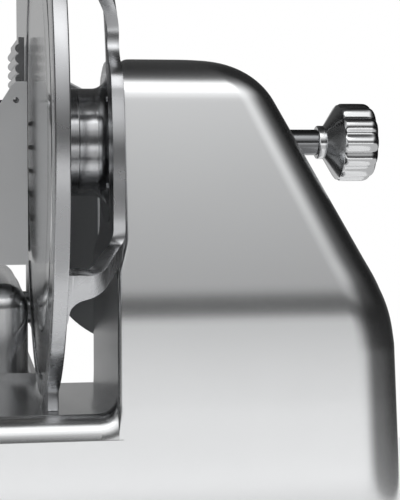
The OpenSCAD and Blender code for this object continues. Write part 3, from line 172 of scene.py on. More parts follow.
def metal(name, colour, rough, grain, grain_depth=0.05, smear=0.2, waves=0.0):
    """A worked metal surface. Grain is the length of one tool mark along X, Y and Z in metres,
    smear how far handling has dulled it in places, and waves how far it is from truly flat."""
    smudges_per_m, waves_per_m = 22.0, 14.0
    made, tree = start_material(name)
    place = add(tree, "ShaderNodeTexCoord").outputs["Object"]
    marks = add(tree, "ShaderNodeMapping", {"Vector": place, "Scale": [1 / g for g in grain]})
    streak = add(tree, "ShaderNodeTexNoise", {
        "Vector": marks.outputs["Vector"], "Scale": 1.0, "Detail": 3.0})
    smudge = add(tree, "ShaderNodeTexNoise", {
        "Vector": place, "Scale": smudges_per_m, "Detail": 4.0})
    both = add(tree, "ShaderNodeMath", {
        0: streak.outputs["Fac"], 1: smudge.outputs["Fac"]}, operation="ADD")
    roughness = add(tree, "ShaderNodeMapRange", {
        "Value": both.outputs[0], "From Min": 0.6, "From Max": 1.4,
        "To Min": rough * (1 - smear), "To Max": rough * (1 + smear)})
    bump = add(tree, "ShaderNodeBump", {
        "Height": streak.outputs["Fac"], "Strength": grain_depth, "Distance": 0.00005})
    wave = add(tree, "ShaderNodeTexNoise", {
        "Vector": place, "Scale": waves_per_m, "Detail": 1.0})
    swell = add(tree, "ShaderNodeBump", {
        "Height": wave.outputs["Fac"], "Strength": waves, "Distance": 0.0005,
        "Normal": bump.outputs["Normal"]})
    shader = add(tree, "ShaderNodeBsdfPrincipled", {
        "Base Color": linear(colour), "Metallic": 1.0, "Roughness": roughness.outputs["Result"],
        "Normal": swell.outputs["Normal"]})
    add(tree, "ShaderNodeOutputMaterial", {"Surface": shader.outputs["BSDF"]})
    return made


# Cast aluminium, ground and satin anodised: broad soft reflections with no visible scratches
satin_cast = metal(
    "satin anodised cast aluminium", "#E6E7E8", 0.23, (0.004, 0.004, 0.004), 0.004, 0.04)

# The straight parts of the flank and the rear: lean from upright, and distance from the origin
side_lean, side_reach = math.radians(2.7), 32.624
flank_lean, flank_reach = math.radians(29), 90.47
rear_lean, rear_reach = math.radians(12), 60.51
# The rounds between them, each with its centre as (X or Y, Z)
bend_centre, bend_r = (-56.9, 116.0), 84
shoulder_centre, shoulder_r = (-85.1, 237), 50
rear_bend_centre, rear_bend_r = (58, 131), 90
hump_base, hump_top, crown_r, crown_y = 14, 287, 30, 23.44
hump_left, wall_x, hump_rear, hump_front = -142.5, -138, -32, 133


def between(z, low, high):
    """How far a height is on its way from one to the other, from 0 to 1."""
    return min(1, max(0, (z - low) / (high - low)))


def flank(z):
    """Where the flank is at a height: upright wall, bend, straight slope and shoulder."""
    if z < bend_centre[1] + bend_r * math.sin(side_lean):
        return (side_reach - z * math.sin(side_lean)) / math.cos(side_lean)
    if z < bend_centre[1] + bend_r * math.sin(flank_lean):
        return bend_centre[0] + math.sqrt(bend_r ** 2 - (z - bend_centre[1]) ** 2)
    if z < shoulder_centre[1] + shoulder_r * math.sin(flank_lean):
        return (flank_reach - z * math.sin(flank_lean)) / math.cos(flank_lean)
    return shoulder_centre[0] + math.sqrt(max(0, shoulder_r ** 2 - (z - shoulder_centre[1]) ** 2))


def hump_right(z):
    """The flank as ground by hand, a little fuller, and most so at the foot."""
    fuller, more_at_foot, foot_top, ease_top = 1.2, 3.4, 112, 146
    return fuller + more_at_foot * (1 - between(z, foot_top, ease_top)) + flank(z)


def hump_back(z):
    """Where the rear face is at a height: upright, then leaning forward, then rounded over."""
    if z < rear_bend_centre[1]:
        return hump_rear
    if z < rear_bend_centre[1] + rear_bend_r * math.sin(rear_lean):
        return rear_bend_centre[0] - math.sqrt(rear_bend_r ** 2 - (z - rear_bend_centre[1]) ** 2)
    if z < hump_top - crown_r + crown_r * math.sin(rear_lean):
        return (z * math.sin(rear_lean) - rear_reach) / math.cos(rear_lean)
    return crown_y - math.sqrt(max(0, crown_r ** 2 - (z - hump_top + crown_r) ** 2))


def hump_edge(z):
    """Where the blade side's wall is at a height: a swelling at the foot, then upright."""
    flare_low, flare_high, corner_r = 158, 180, 8
    if z < flare_high:
        part = between(z, flare_low, flare_high)
        return hump_left + (wall_x - hump_left) * part * part * (3 - 2 * part)
    if z < hump_top - corner_r:
        return wall_x
    return wall_x + corner_r - math.sqrt(max(0, corner_r ** 2 - (z - hump_top + corner_r) ** 2))


def hump_section(z):
    """The hump's outline at a height, with its four rounded corners. Level with the rim its rear
    is set back a hair from the rim's, and its rear corner on the blade's side is nearly sharp."""
    rim_z, above_rim, waist, hair, straight = 66, 80, 165, 0.05, 1.5
    foot, upper = between(z, rim_z, above_rim), between(z, waist, hump_top)
    left, right, front = hump_edge(z), hump_right(z), hump_front
    rear = hump_back(z) + hair * (1 - foot)
    if z > hump_top - crown_r:
        front = hump_front - crown_r + math.sqrt(crown_r ** 2 - (z - hump_top + crown_r) ** 2)
    corners = (
        # X, Y, radius of the corner, direction in which its round starts
        (left, rear, 0.5 + 2.5 * foot, 180), (right, rear, 30 - 8 * upper, 270),
        (right, front, 35 - 14 * upper, 0), (left, front, 3 + 4 * foot, 90))
    points = []
    for x, y, r, start in corners:
        inwards = (x - math.copysign(r, x - (left + right) / 2),
                   y - math.copysign(r, y - (rear + front) / 2))
        curve = arc(inwards, r, start, start + 90, 12)
        # A short straight run on both sides of each round keeps the faces between them flat
        into = (math.sin(math.radians(start)), -math.cos(math.radians(start)))
        out = (math.cos(math.radians(start + 180)), math.sin(math.radians(start + 180)))
        points.append((curve[0][0] + into[0] * straight, curve[0][1] + into[1] * straight, z))
        points += [(px, py, z) for px, py in curve]
        points.append((curve[-1][0] + out[0] * straight, curve[-1][1] + out[1] * straight, z))
    return points


# The sections lie closest where the hump grows out of the rim and over its crown
levels = [hump_base, 40, 66, 68, 70, 73, 76, 80] + list(range(83, 257, 3))
levels += [hump_top - crown_r + crown_r * math.sin(math.radians(a)) for a in range(0, 91, 5)]
bm = bmesh.new()
loft(bm, [hump_section(z) for z in levels])
piece("hump_skin", bm, satin_cast, "base", "cast_aluminium", "motor_hump")


# Base: the same casting below the hump, a low block with a sunk floor inside a rounded rim, and the
# low deck beside it. Its edges are rounded off on the belt grinder.
def sharp_edges(bm, degrees=35):
    """The edges between two faces that turn by more than this."""
    return [e for e in bm.edges if e.calc_face_angle(0) > math.radians(degrees)]


def bevel(bm, edges, width, segments=2):
    """Rounds some edges of a mesh."""
    bmesh.ops.bevel(bm, geom=edges, offset=width, offset_type="OFFSET", affect="EDGES",
                    segments=segments, profile=0.5, material=-1, clamp_overlap=True)


def cut(bm, place, normal):
    """Draws the line of a flat cut all round a mesh."""
    everything = bm.verts[:] + bm.edges[:] + bm.faces[:]
    bmesh.ops.bisect_plane(bm, geom=everything, dist=0.0001, plane_co=place, plane_no=normal)


def softened(name, width, material, body, slot, reshape=None):
    """A copy of a CAD node with its sharp edges rounded, after an edit of its shape if given."""
    bm = bmesh.new()
    bm.from_mesh(nodes[name].data)
    bmesh.ops.scale(bm, vec=(1000, 1000, 1000), verts=bm.verts)
    bmesh.ops.remove_doubles(bm, verts=bm.verts, dist=0.01)
    if reshape:
        reshape(bm)
    bmesh.ops.dissolve_limit(
        bm, angle_limit=math.radians(0.5), verts=bm.verts, edges=bm.edges)
    bevel(bm, sharp_edges(bm), width)
    return piece(name + "_finished", bm, material, body, slot, name, weighted=True)


rim_top = 75


def up_to_the_hump(bm):
    """Draws the copy's two cut faces up to the hump, takes the stump of the pedestal off, and gives
    the rim's rear edge its full round."""
    old_r, full_r, rim_in, near = 10, 14, hump_rear + 12, 0.01
    side_cut, front_cut, under_side, under_front = hump_left - 1, hump_front + 1, 3, 45
    for v in bm.verts:
        out, up = hump_rear + old_r - v.co.y, v.co.z - rim_top + old_r
        if out > -near and up > -near and v.co.z < rim_top + near:
            turn = math.atan2(max(0, up), max(0, out))
            v.co.y = min(rim_in, hump_rear + full_r * (1 - math.cos(turn)))
            v.co.z = rim_top - full_r * (1 - math.sin(turn))
        if abs(v.co.x - side_cut) < 2 * near:
            v.co.x = hump_left + under_side
        if abs(v.co.y - front_cut) < 2 * near and v.co.x > side_cut - 1:
            v.co.y = hump_front - under_front
    level = rim_top + 0.2
    cut(bm, (0, 0, level), (0, 0, 1))
    above = [f for f in bm.faces if f.calc_center_median().z > level]
    bmesh.ops.delete(bm, geom=above, context="FACES")
    rim = [e for e in bm.edges
           if e.is_boundary and all(abs(v.co.z - level) < near for v in e.verts)]
    bmesh.ops.triangle_fill(bm, edges=rim, use_beauty=True)


softened("body_casting", 0.8, satin_cast, "base", "cast_aluminium", up_to_the_hump)


# Pedestal of the gauge plate: a block of the same casting that stands up out of the sunk floor,
# ground to a large round on every edge. It has the casting's satin skin.
def block(low, high):
    """A block between two corners."""
    bm = bmesh.new()
    bmesh.ops.create_cube(bm, size=1)
    bmesh.ops.scale(bm, vec=high - low, verts=bm.verts)
    bmesh.ops.translate(bm, vec=(low + high) / 2, verts=bm.verts)
    return bm


bm = block(Vector((-225, 153, 74)), Vector((-185, 386, 137)))
bevel(bm, [e for e in bm.edges if any(v.co.z > rim_top for v in e.verts)], 17, segments=10)
piece("gauge_pedestal_skin", bm, satin_cast, "base", "cast_aluminium", "gauge_pedestal",
      sharp=50, weighted=True)


# Rim's corner: where the casting's rounded rim turns up into the hump through a soft inner round,
# cast with the rest and ground with it. It is set back a hair, so that no two skins share a plane.
def spin(bm, loop, axis, centre, angle, steps, merge=False):
    """Turns a loop of edges about an axis."""
    corners = list({v for e in loop for v in e.verts})
    bmesh.ops.spin(bm, geom=loop + corners, axis=axis, cent=centre, angle=angle, steps=steps,
                   use_merge=merge)


inner_r, edge_r, rim_w, rim_h = 10, 14, 14, 20
face = hump_rear + 0.06
corner_x, corner_z = hump_left - inner_r, rim_top + inner_r
profile = [(face + rim_w, -inner_r), (face + rim_w, -inner_r - rim_h), (face, -inner_r - rim_h)]
profile += arc((face + edge_r, -inner_r - edge_r), edge_r, 180, 90, 10)
bm = bmesh.new()
loop = outline(bm, [(corner_x, y, corner_z + h) for y, h in profile])
spin(bm, loop, (0, 1, 0), (corner_x, 0, corner_z), math.radians(-90), 14)
bmesh.ops.holes_fill(bm, edges=[e for e in bm.edges if e.is_boundary], sides=0)
piece("rim_corner", bm, satin_cast, "base", "cast_aluminium", "body_casting", sharp=50)


# Bearing neck: steel, turned and polished, with its flange screwed to the hump's wall. A narrow
# groove near its end holds the seal against food juice. Bright, with soft bands round it; the
# turning marks are drawn coarser than they are, because the real ones are too fine to show.
def round_edges(bm, width, segments=2):
    """Rounds the sharp edges of a mesh drawn in millimetres."""
    bmesh.ops.remove_doubles(bm, verts=bm.verts, dist=0.002)
    bmesh.ops.recalc_face_normals(bm, faces=bm.faces)
    bevel(bm, sharp_edges(bm), width, segments)


polished_steel = metal(
    "turned and polished steel", "#CDCED0", 0.2, (0.0008, 0.02, 0.02), 0.02, 0.15)
axis_y, axis_z = 78, 236
neck_low, neck_high = (corner.x * 1000 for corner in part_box("hub_housing"))
neck_r, flange_r, root_r, boss_r, bore_r = 34.75, 52, 9, 29.5, 21
groove_x, groove_w, groove_t = -158.6, 1.2, 1.4
flange_front, flange_back = wall_x - 0.8, wall_x + 0.05
neck_profile = [
    (neck_low, bore_r), (neck_low, neck_r), (groove_x - groove_w / 2, neck_r),
    (groove_x - groove_w / 2, neck_r - groove_t), (groove_x + groove_w / 2, neck_r - groove_t),
    (groove_x + groove_w / 2, neck_r)]
neck_profile += arc((flange_front - root_r, neck_r + root_r), root_r, -90, 0, 8)
neck_profile += [
    (flange_front, flange_r), (flange_back, flange_r), (flange_back, boss_r), (neck_high, boss_r),
    (neck_high, bore_r)]
bm = bmesh.new()
loop = outline(bm, [(x, axis_y + r, axis_z) for x, r in neck_profile])
spin(bm, loop, (1, 0, 0), (0, axis_y, axis_z), math.tau, 96, merge=True)
round_edges(bm, 0.25)
piece("bearing_neck", bm, polished_steel, "base", "neck_steel", "hub_housing")


# Guard ring: aluminium, machined and polished to a satin grey. It hugs the edge of the blade all
# round except at the cutting side, and two bent arms carry it from the side plate on the hump.
def smooth_rows(rows, steps):
    """Rows of numbers with smooth in-between rows (a curve through every row)."""
    made = []
    for i in range(len(rows) - 1):
        a, b, c, d = (rows[max(0, min(len(rows) - 1, i + k))] for k in (-1, 0, 1, 2))
        for s in range(steps):
            t = s / steps
            made.append([
                0.5 * (2 * q + (r - p) * t + (2 * p - 5 * q + 4 * r - u) * t ** 2
                       + (3 * q - p - 3 * r + u) * t ** 3) for p, q, r, u in zip(a, b, c, d)])
    return made + [rows[-1]]


ring_metal = metal(
    "satin polished aluminium", "#C4C5C7", 0.27, (0.012, 0.004, 0.012), 0.02, 0.12)
ring_x, ring_in, ring_out, ring_step = (-182.5, -173.8), 152.5, 163.6, 1.8
bm = bmesh.new()
for first, last in ((72, 79.8), (100.2, 326)):
    turn = Matrix.Rotation(math.radians(first), 3, "X")
    corners = [turn @ Vector((x, r, 0)) + Vector((0, axis_y, axis_z)) for x, r in (
        (ring_x[0], ring_in), (ring_x[1], ring_in), (ring_x[1], ring_out), (ring_x[0], ring_out))]
    spin(bm, outline(bm, corners), (1, 0, 0), (0, axis_y, axis_z), math.radians(last - first),
         int((last - first) / ring_step))
bmesh.ops.holes_fill(bm, edges=[e for e in bm.edges if e.is_boundary], sides=4)
round_edges(bm, 0.9, segments=3)
piece("guard_ring", bm, ring_metal, "base", "polished_aluminium", "ring_guard")

# Arms and side plate in one bent strip: for each station the rear edge and the front edge of the
# face that lies on the hump, from the lower end on the ring, up the wall, to the upper end
plate_side = 19.7
strip = [
    # X, rear Y, rear Z, front Y, front Z, thickness; X and Y from the middle of the whole machine
    (-20, -250, 161.5, -229, 129.5, 6), (-15.8, -250, 161.5, -230.5, 131.5, 6.5),
    (-14.5, -250, 161.5, -236, 139.5, 7), (-13, -250, 161.5, -238, 142.5, 7),
    (-9, -249, 161.5, -239, 145.6, 7), (-1.2, -245.5, 161.2, -238.5, 148, 7.5),
    (5.4, -237.5, 163.5, -233, 151.5, 8.5), (10, -229, 168.5, -226, 156.5, 8.5),
    (14.5, -221, 173.5, -219.5, 162, 8), (18, -217, 177.8, -214, 167, 7.5),
    (19.6, -215.5, 182.5, -206, 175, 7), (plate_side, -216, 192, -194, 188, 7),
    (plate_side, -216, 208, -191, 205, 7), (plate_side, -215.5, 236, -191, 236, 7),
    (plate_side, -209.5, 262, -186, 262, 7), (plate_side, -207.5, 270, -183, 270, 7),
    (plate_side, -203, 278, -178, 275, 7), (plate_side, -191, 285.5, -174, 283, 7),
    (plate_side, -184.5, 294, -172, 292, 7), (plate_side, -184, 304, -162, 314, 7),
    (18, -188, 313, -168, 330, 7.5), (14.5, -195, 321, -175, 339, 8),
    (10, -203, 328, -182, 347, 8.5), (5.4, -211, 333.5, -188, 354, 8.5),
    (-1.2, -219, 338, -193, 362, 7.5), (-9, -226, 340.5, -196, 368, 7),
    (-15.8, -230.3, 341.2, -191.7, 374.7, 6.5), (-20, -230.3, 341.2, -191.7, 374.7, 6),
]
to_frame = Vector((-158, 183, 0))
rows = smooth_rows(strip, 4)
sections = []
for i, (x, y1, z1, y2, z2, thick) in enumerate(rows):
    rear, front = Vector((x, y1, z1)) + to_frame, Vector((x, y2, z2)) + to_frame
    before, after = rows[max(0, i - 1)], rows[min(len(rows) - 1, i + 1)]
    travel = Vector((after[0] - before[0], (after[1] + after[3] - before[1] - before[3]) / 2,
                     (after[2] + after[4] - before[2] - before[4]) / 2))
    inwards = travel.cross(front - rear).normalized() * thick
    sections.append([tuple(p) for p in (rear, rear + inwards, front + inwards, front)])
bm = bmesh.new()
loft(bm, sections)
bmesh.ops.recalc_face_normals(bm, faces=bm.faces)
bevel(bm, sharp_edges(bm, 50), 1.2, segments=3)
piece("guard_arms_and_plate", bm, ring_metal, "base", "polished_aluminium", "ring_guard", sharp=50)

# The ring's foot: a small block of the same aluminium below the ring, which reaches down to the
# sunk floor of the casting and steadies the ring
bm = block(Vector((-181, 22, 70)), Vector((-173.9, 70, 94)))
round_edges(bm, 1.0)
piece("guard_ring_foot", bm, ring_metal, "base", "polished_aluminium", "ring_guard")


# Knob of the blade cover's tie rod: turned from aluminium bar, with a collar, a cone and twelve
# milled flutes for the fingers, then polished until it shines and mirrors the room in stripes.
lobes, flute_depth, valley_round, points_per_lobe = 12, 3.0, 0.03, 12
knob_x = 1.6
knob_profile = [
    # distance from the collar's face, radius, how deep the flutes are there
    (0, 10.2, 0), (0.8, 11, 0), (4.5, 11, 0), (5.3, 11.4, 0), (13.2, 23.6, 0), (14.4, 24.6, 0.25),
    (15.4, 25.3, 0.8), (17.5, 25.65, 1), (30, 25.65, 1), (33.5, 25.2, 1), (35.8, 23.6, 0.9),
    (37.4, 20.8, 0.6), (38.2, 17.5, 0.3), (38.4, 14, 0), (38.4, 5, 0)]
sections = []
for along, radius, share in smooth_rows(knob_profile, 3):
    ring = []
    for i in range(lobes * points_per_lobe):
        turn = math.tau * i / (lobes * points_per_lobe)
        lobe = (math.sqrt(math.cos(turn * lobes / 2) ** 2 + valley_round)
                / math.sqrt(1 + valley_round))
        r = radius - flute_depth * share * (1 - lobe)
        ring.append((knob_x + along, axis_y + r * math.cos(turn), axis_z + r * math.sin(turn)))
    sections.append(ring)
bm = bmesh.new()
loft(bm, sections)
knob_metal = metal("polished knob aluminium", "#E2E3E4", 0.14, (0.004, 0.02, 0.02), 0.03)
piece("tie_rod_knob_fluted", bm, knob_metal, "cover_rod", "polished_aluminium", "tie_rod_knob",
      sharp=60)


# Screws, studs and the bottom cover: steel, pressed or turned and plated with bright zinc, which
# gives a pale, slightly milky grey with blurred reflections. The cover is screwed on from below.
def dress(material, *names):
    """Gives CAD nodes a finished material."""
    for name in names:
        for spot in nodes[name].material_slots:
            spot.material = material


zinc = metal("bright zinc plated steel", "#C2C4C6", 0.32, (0.003, 0.003, 0.003), 0.08, 0.25)
dress(zinc, "bottom_cover", "cover_screws", "foot_studs", "wall_screws", "deflector_screws",
      "motor_pillars", "sharpener_screws", "blade_screws")


# Feet: black rubber, moulded on the ends of the steel studs that screw into the base. The rubber
# is a matt black with a fine pebbled skin.
def moulded(name, colour, rough, grain, depth):
    """A moulded or painted surface with the fine grain of its tool; grain is in metres."""
    made, tree = start_material(name)
    place = add(tree, "ShaderNodeTexCoord").outputs["Object"]
    pores = add(tree, "ShaderNodeTexNoise", {"Vector": place, "Scale": 1 / grain, "Detail": 3.0})
    shade = add(tree, "ShaderNodeMapRange", {
        "Value": pores.outputs["Fac"], "From Min": 0.3, "From Max": 0.7,
        "To Min": rough * 0.85, "To Max": rough * 1.15})
    bump = add(tree, "ShaderNodeBump", {
        "Height": pores.outputs["Fac"], "Strength": depth, "Distance": 0.0001})
    shader = add(tree, "ShaderNodeBsdfPrincipled", {
        "Base Color": linear(colour), "Roughness": shade.outputs["Result"],
        "Normal": bump.outputs["Normal"]})
    add(tree, "ShaderNodeOutputMaterial", {"Surface": shader.outputs["BSDF"]})
    return made


rubber = moulded("black rubber", "#1C1C1C", 0.75, 0.0008, 0.4)
softened("rubber_feet", 1.2, rubber, "base", "black_rubber")


# Bearings in the neck, spindles and shafts: hardened steel, ground to a bright finish. The fine
# rings of the grinding are drawn coarser than they are, because the real ones wouldn't show.
ground_bar = metal(
    "ground and hardened steel bar", "#B4B5B7", 0.12, (0.0006, 0.02, 0.02), 0.03, 0.15)
dress(ground_bar, "spindle_bearings", "blade_spindle", "motor_shaft", "dial_shaft", "gauge_shafts")


# Slice deflector: sheet aluminium, rolled to a curve, clear anodised and screwed to the hump's
# front face. The anodised skin is a pale, slightly dull grey.
def notched(bm):
    """Takes the sheet's upper corner off beside the neck."""
    upright, low, high = 168, (137, 267), (168, 281)
    start = Vector((0, low[0], low[1]))
    slant = Vector((0, low[1] - high[1], high[0] - low[0])).normalized()
    cut(bm, (0, upright, 0), (0, 1, 0))
    cut(bm, start, slant)
    corner = [f for f in bm.faces if f.calc_center_median().y < upright
              and (f.calc_center_median() - start).dot(slant) > 0.01]
    bmesh.ops.delete(bm, geom=corner, context="FACES")
    bmesh.ops.triangle_fill(bm, edges=[e for e in bm.edges if e.is_boundary], use_beauty=True)


clear_anodised = moulded("clear anodised aluminium sheet", "#D8DADC", 0.4, 0.002, 0.05)
softened("deflector", 0.3, clear_anodised, "base", "anodised_sheet", notched)


# Motor: steel drum between two cast caps, hung on four pillars behind the hump's wall. The drum
# is painted a dark grey with a low sheen, and the caps are left as satin aluminium.
motor_paint = moulded("grey motor paint", "#3A3C3E", 0.35, 0.002, 0.2)
softened("motor_case", 1.0, motor_paint, "base", "motor_paint")
dress(satin_cast, "motor_end_caps")


# Belt: flat ribbed rubber loop, stretched between the motor's pulley and the blade's pulley. It
# is the same matt black as the feet.
dress(rubber, "drive_belt")


# Capacitor: round can of moulded plastic, clipped on top of the motor that it starts. It is a warm
# white with a soft shine.
dress(moulded("pale capacitor case", "#D8D8D2", 0.3, 0.002, 0.1), "run_capacitor")


# Control box, motor fan, switch plate and cord gland: moulded in black glass filled nylon and
# fitted in or on the hump. The fine grain of the mould gives a satin black.
black_nylon = moulded("black glass filled nylon", "#161617", 0.4, 0.0006, 0.25)
dress(black_nylon, "control_box", "motor_fan")
softened("switch_plate", 1.0, black_nylon, "base", "black_plastic")
softened("cable_gland", 0.6, black_nylon, "base", "black_plastic")


# Buttons: moulded plastic caps with rounded rims, sprung in the switch plate. They are smooth and
# a little shiny, deep green to start and deep red to stop.
green_cap = moulded("green button plastic", "#12682C", 0.25, 0.002, 0.1)
red_cap = moulded("red button plastic", "#9C1414", 0.25, 0.002, 0.1)
softened("start_button", 0.8, green_cap, "start", "green_plastic")
softened("stop_button", 0.8, red_cap, "stop", "red_plastic")


# Bushes of the tie rod, the gauge's shafts and the carriage: pressed from bronze powder, sintered
# and pushed into their bores. The porous bronze is a dull golden brown.
bronze = metal("sintered bronze", "#B98A54", 0.35, (0.001, 0.001, 0.001), 0.2)
dress(bronze, "rod_bush", "gauge_bushes", "carriage_bushes")


# Guide rail: a bright ground steel bar, held at both ends in brackets that stand on the sunk floor.
# They are cast in aluminium and rounded on the grinder, with the body's satin finish.
dress(ground_bar, "carriage_rail")
softened("rail_brackets", 2.0, satin_cast, "base", "cast_aluminium")


# Blade: one disc of hardened steel, ground and then polished round and round, with a bevelled
# edge, and screwed to its hub. It mirrors the room, blurred along fine rings. The rings are far
# finer than the picture can show, so they are drawn a little coarser.
axis_m = (axis_y / 1000, axis_z / 1000)


def spun(name, colour, rough, pitch, depth):
    """Metal finished while it turns: fine rings round the blade's axis; pitch is in metres."""
    made, tree = start_material(name)
    place = add(tree, "ShaderNodeTexCoord").outputs["Object"]
    flat = add(tree, "ShaderNodeMapping", {
        "Vector": place, "Location": (0, -axis_m[0], -axis_m[1]), "Scale": (0, 1, 1)})
    radius = add(tree, "ShaderNodeVectorMath", {0: flat.outputs["Vector"]}, operation="LENGTH")
    across = add(tree, "ShaderNodeMath", {
        0: radius.outputs["Value"], 1: 1 / pitch}, operation="MULTIPLY")
    rings = add(tree, "ShaderNodeTexNoise", {"W": across.outputs[0], "Scale": 1.0, "Detail": 2.0},
                noise_dimensions="1D")
    shade = add(tree, "ShaderNodeMapRange", {
        "Value": rings.outputs["Fac"], "From Min": 0.3, "From Max": 0.7,
        "To Min": rough * 0.75, "To Max": rough * 1.25})
    bump = add(tree, "ShaderNodeBump", {
        "Height": rings.outputs["Fac"], "Strength": depth, "Distance": 0.00002})
    shader = add(tree, "ShaderNodeBsdfPrincipled", {
        "Base Color": linear(colour), "Metallic": 1.0, "Roughness": shade.outputs["Result"],
        "Normal": bump.outputs["Normal"]})
    add(tree, "ShaderNodeOutputMaterial", {"Surface": shader.outputs["BSDF"]})
    return made


dress(spun("ground and polished blade steel", "#DCDDDE", 0.13, 0.0012, 0.08), "blade")


# Blade cover: cast aluminium disc, spun and polished on its face and drawn on by the tie rod. It
# is a shade paler and softer than the blade, with the same fine rings.
spun_cover = spun("spun and polished aluminium", "#E2E3E4", 0.16, 0.0015, 0.08)
softened("blade_cover", 0.6, spun_cover, "cover_disc", "polished_aluminium")


# Hub, pulleys and tie rod: the hub turned from steel, the pulleys from aluminium and polished, both
# bright. The rod is ground steel, its colour made a shade darker than the other ground steel as
# painted shade for the dark band it mirrors. The turning marks are drawn coarser.
turned_hub = metal("turned steel hub", "#B0B1B3", 0.2, (0.0008, 0.02, 0.02), 0.05)
dress(turned_hub, "blade_hub")
polished = metal("polished aluminium", "#D2D3D5", 0.16, (0.012, 0.004, 0.012), 0.03, 0.25, 0.06)
dress(polished, "blade_pulley", "motor_pulley")
# Painted shade: the tie rod's steel is coloured darker than the ground bar, standing in for the
# dark room it reflects
tie_rod_steel_darkened_for_shade = metal("ground tie rod steel darkened as painted shade", "#8C8D8F", 0.16, (0.0006, 0.02, 0.02), 0.02, 0.15)
dress(tie_rod_steel_darkened_for_shade, "tie_rod")


# Gauge plate and its bracket: aluminium castings, ground flat and satin anodised like the body,
# the plate's front edge rounded by hand. They slide together with their shafts in bronze bushes.
softened("gauge_plate", 1.5, satin_cast, "gauge", "cast_aluminium")
softened("gauge_bracket", 1.5, satin_cast, "gauge", "cast_aluminium")


# Thickness dial: knob with a fluted rim, moulded in the same satin black nylon and pressed on the
# front end of the cam's shaft.
softened("thickness_dial", 0.8, black_nylon, "dial", "black_plastic")


# Marks of the dial: fifteen short lines of white paint rolled into its skirt, every fifth one
# longer. The paint is a flat white.
mark_count, mark_turn, mark_inset = 15, 21.5, 2.3
mark_short, mark_long, mark_thick, mark_wide = 2.0, 2.8, 0.3, 0.5
dial_low, dial_high = (v * 1000 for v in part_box("thickness_dial"))
dial_r, skirt_front = (dial_high.x - dial_low.x) / 2, dial_low.y + 5.05
place = Matrix.Translation(
    ((dial_low.x + dial_high.x) / 2, skirt_front, (dial_low.z + dial_high.z) / 2))
bm = bmesh.new()
for mark in range(mark_count):
    turn = Matrix.Rotation(math.radians(mark * mark_turn), 4, "Y")
    size = Matrix.Diagonal((mark_short if mark % 5 else mark_long, mark_thick, mark_wide, 1))
    out = Matrix.Translation((dial_r - mark_inset, 0, 0))
    bmesh.ops.create_cube(bm, size=1, matrix=place @ turn @ out @ size)
white_paint = moulded("white paint", "#E8E8E4", 0.5, 0.001, 0.05)
piece("dial_marks", bm, white_paint, "dial", "nylon")


# Carriage: a cast block with bronze bushes that runs on the rail, and the cast arm on top of it
# that carries the tray. Both have the body's satin finish.
softened("carriage_block", 2.0, satin_cast, "carriage", "cast_aluminium")
softened("carriage_arm", 2.0, satin_cast, "carriage", "cast_aluminium")


# Tray: stainless sheet, folded and brushed along its length, with a bright edge all round.
# The brush lines are drawn coarser than they are, as the picture can't show finer ones.
stainless = metal("brushed stainless sheet", "#DCDDDE", 0.4, (0.0006, 0.05, 0.0006), 0.15)
softened("product_tray", 0.4, stainless, "carriage", "stainless")
dress(stainless, "press_spikes")


# Carriage handle: grip moulded in black nylon, upright at the tray's outer edge. It has the same
# satin black as the switch plate.
softened("carriage_handle", 2.0, black_nylon, "carriage", "black_plastic")


# Track roller: turned from acetal bar, on an axle in the carriage. It rolls on the sunk floor and
# keeps the tray level, and is a smooth, slightly waxy white.
acetal = moulded("white acetal", "#E6E6E0", 0.35, 0.002, 0.1)
softened("track_roller", 0.5, acetal, "roller", "nylon")


# Pusher: ground steel rod on the tray, a moulded nylon hub that slides on it, and the press plate
# that swings on the rod, cast in aluminium with its ribs and polished, with a black nylon grip.
dress(ground_bar, "pusher_rod")
softened("pusher_hub", 1.0, black_nylon, "pusher", "black_plastic")
softened("press_plate", 0.8, polished, "press", "polished_aluminium")
softened("pusher_grip", 2.0, black_nylon, "press", "black_plastic")


# Sharpener: satin cast aluminium cover, screwed on over the gap in the ring, with two stones on
# sprung nylon spindles. The stones are bonded grit, dull and rough, and their grain is drawn a
# little coarser than it is.
softened("sharpener_cover", 2.0, satin_cast, "base", "cast_aluminium")
dress(black_nylon, "honing_spindle", "grinding_spindle")
dress(moulded("fine honing stone", "#B8AC98", 0.9, 0.0004, 0.8), "honing_stone")
dress(moulded("coarse grinding stone", "#6C6C70", 0.9, 0.0005, 0.9), "grinding_stone")


# Studio: pale paper floor, even light all round, and one large soft box high behind the camera.
# Metal mirrors a room that is drawn by direction, with dark curtains at the sides and overhead
# and a dark gap low behind the camera, for the polished parts' black and white bands.
bm = bmesh.new()
bmesh.ops.create_grid(bm, x_segments=1, y_segments=1, size=0.32)
centre = ((cad_low[0] + cad_high[0]) / 2, (cad_low[1] + cad_high[1]) / 2, 0)
bmesh.ops.translate(bm, vec=centre, verts=bm.verts)
floor_mesh = bpy.data.meshes.new("floor")
bm.to_mesh(floor_mesh)
bm.free()
floor = placed("floor", floor_mesh)
paper, tree = start_material("white paper floor")
ray = add(tree, "ShaderNodeLightPath")
mirrored = add(tree, "ShaderNodeMath", {
    0: ray.outputs["Is Glossy Ray"], 1: ray.outputs["Is Transmission Ray"]}, operation="MAXIMUM")
plain_view = add(tree, "ShaderNodeMath", {
    0: ray.outputs["Is Camera Ray"], 1: mirrored.outputs[0]}, operation="MAXIMUM")
matt = add(tree, "ShaderNodeBsdfDiffuse", {"Color": linear("#F4F4F4")})
glow = add(tree, "ShaderNodeEmission", {"Color": (1, 1, 1, 1), "Strength": 0.3})
lit = add(tree, "ShaderNodeAddShader", {0: matt.outputs[0], 1: glow.outputs[0]})
seen = add(tree, "ShaderNodeMixShader", {
    0: plain_view.outputs[0], 1: matt.outputs[0], 2: lit.outputs[0]})
add(tree, "ShaderNodeOutputMaterial", {"Surface": seen.outputs[0]})
floor_mesh.materials.append(paper)

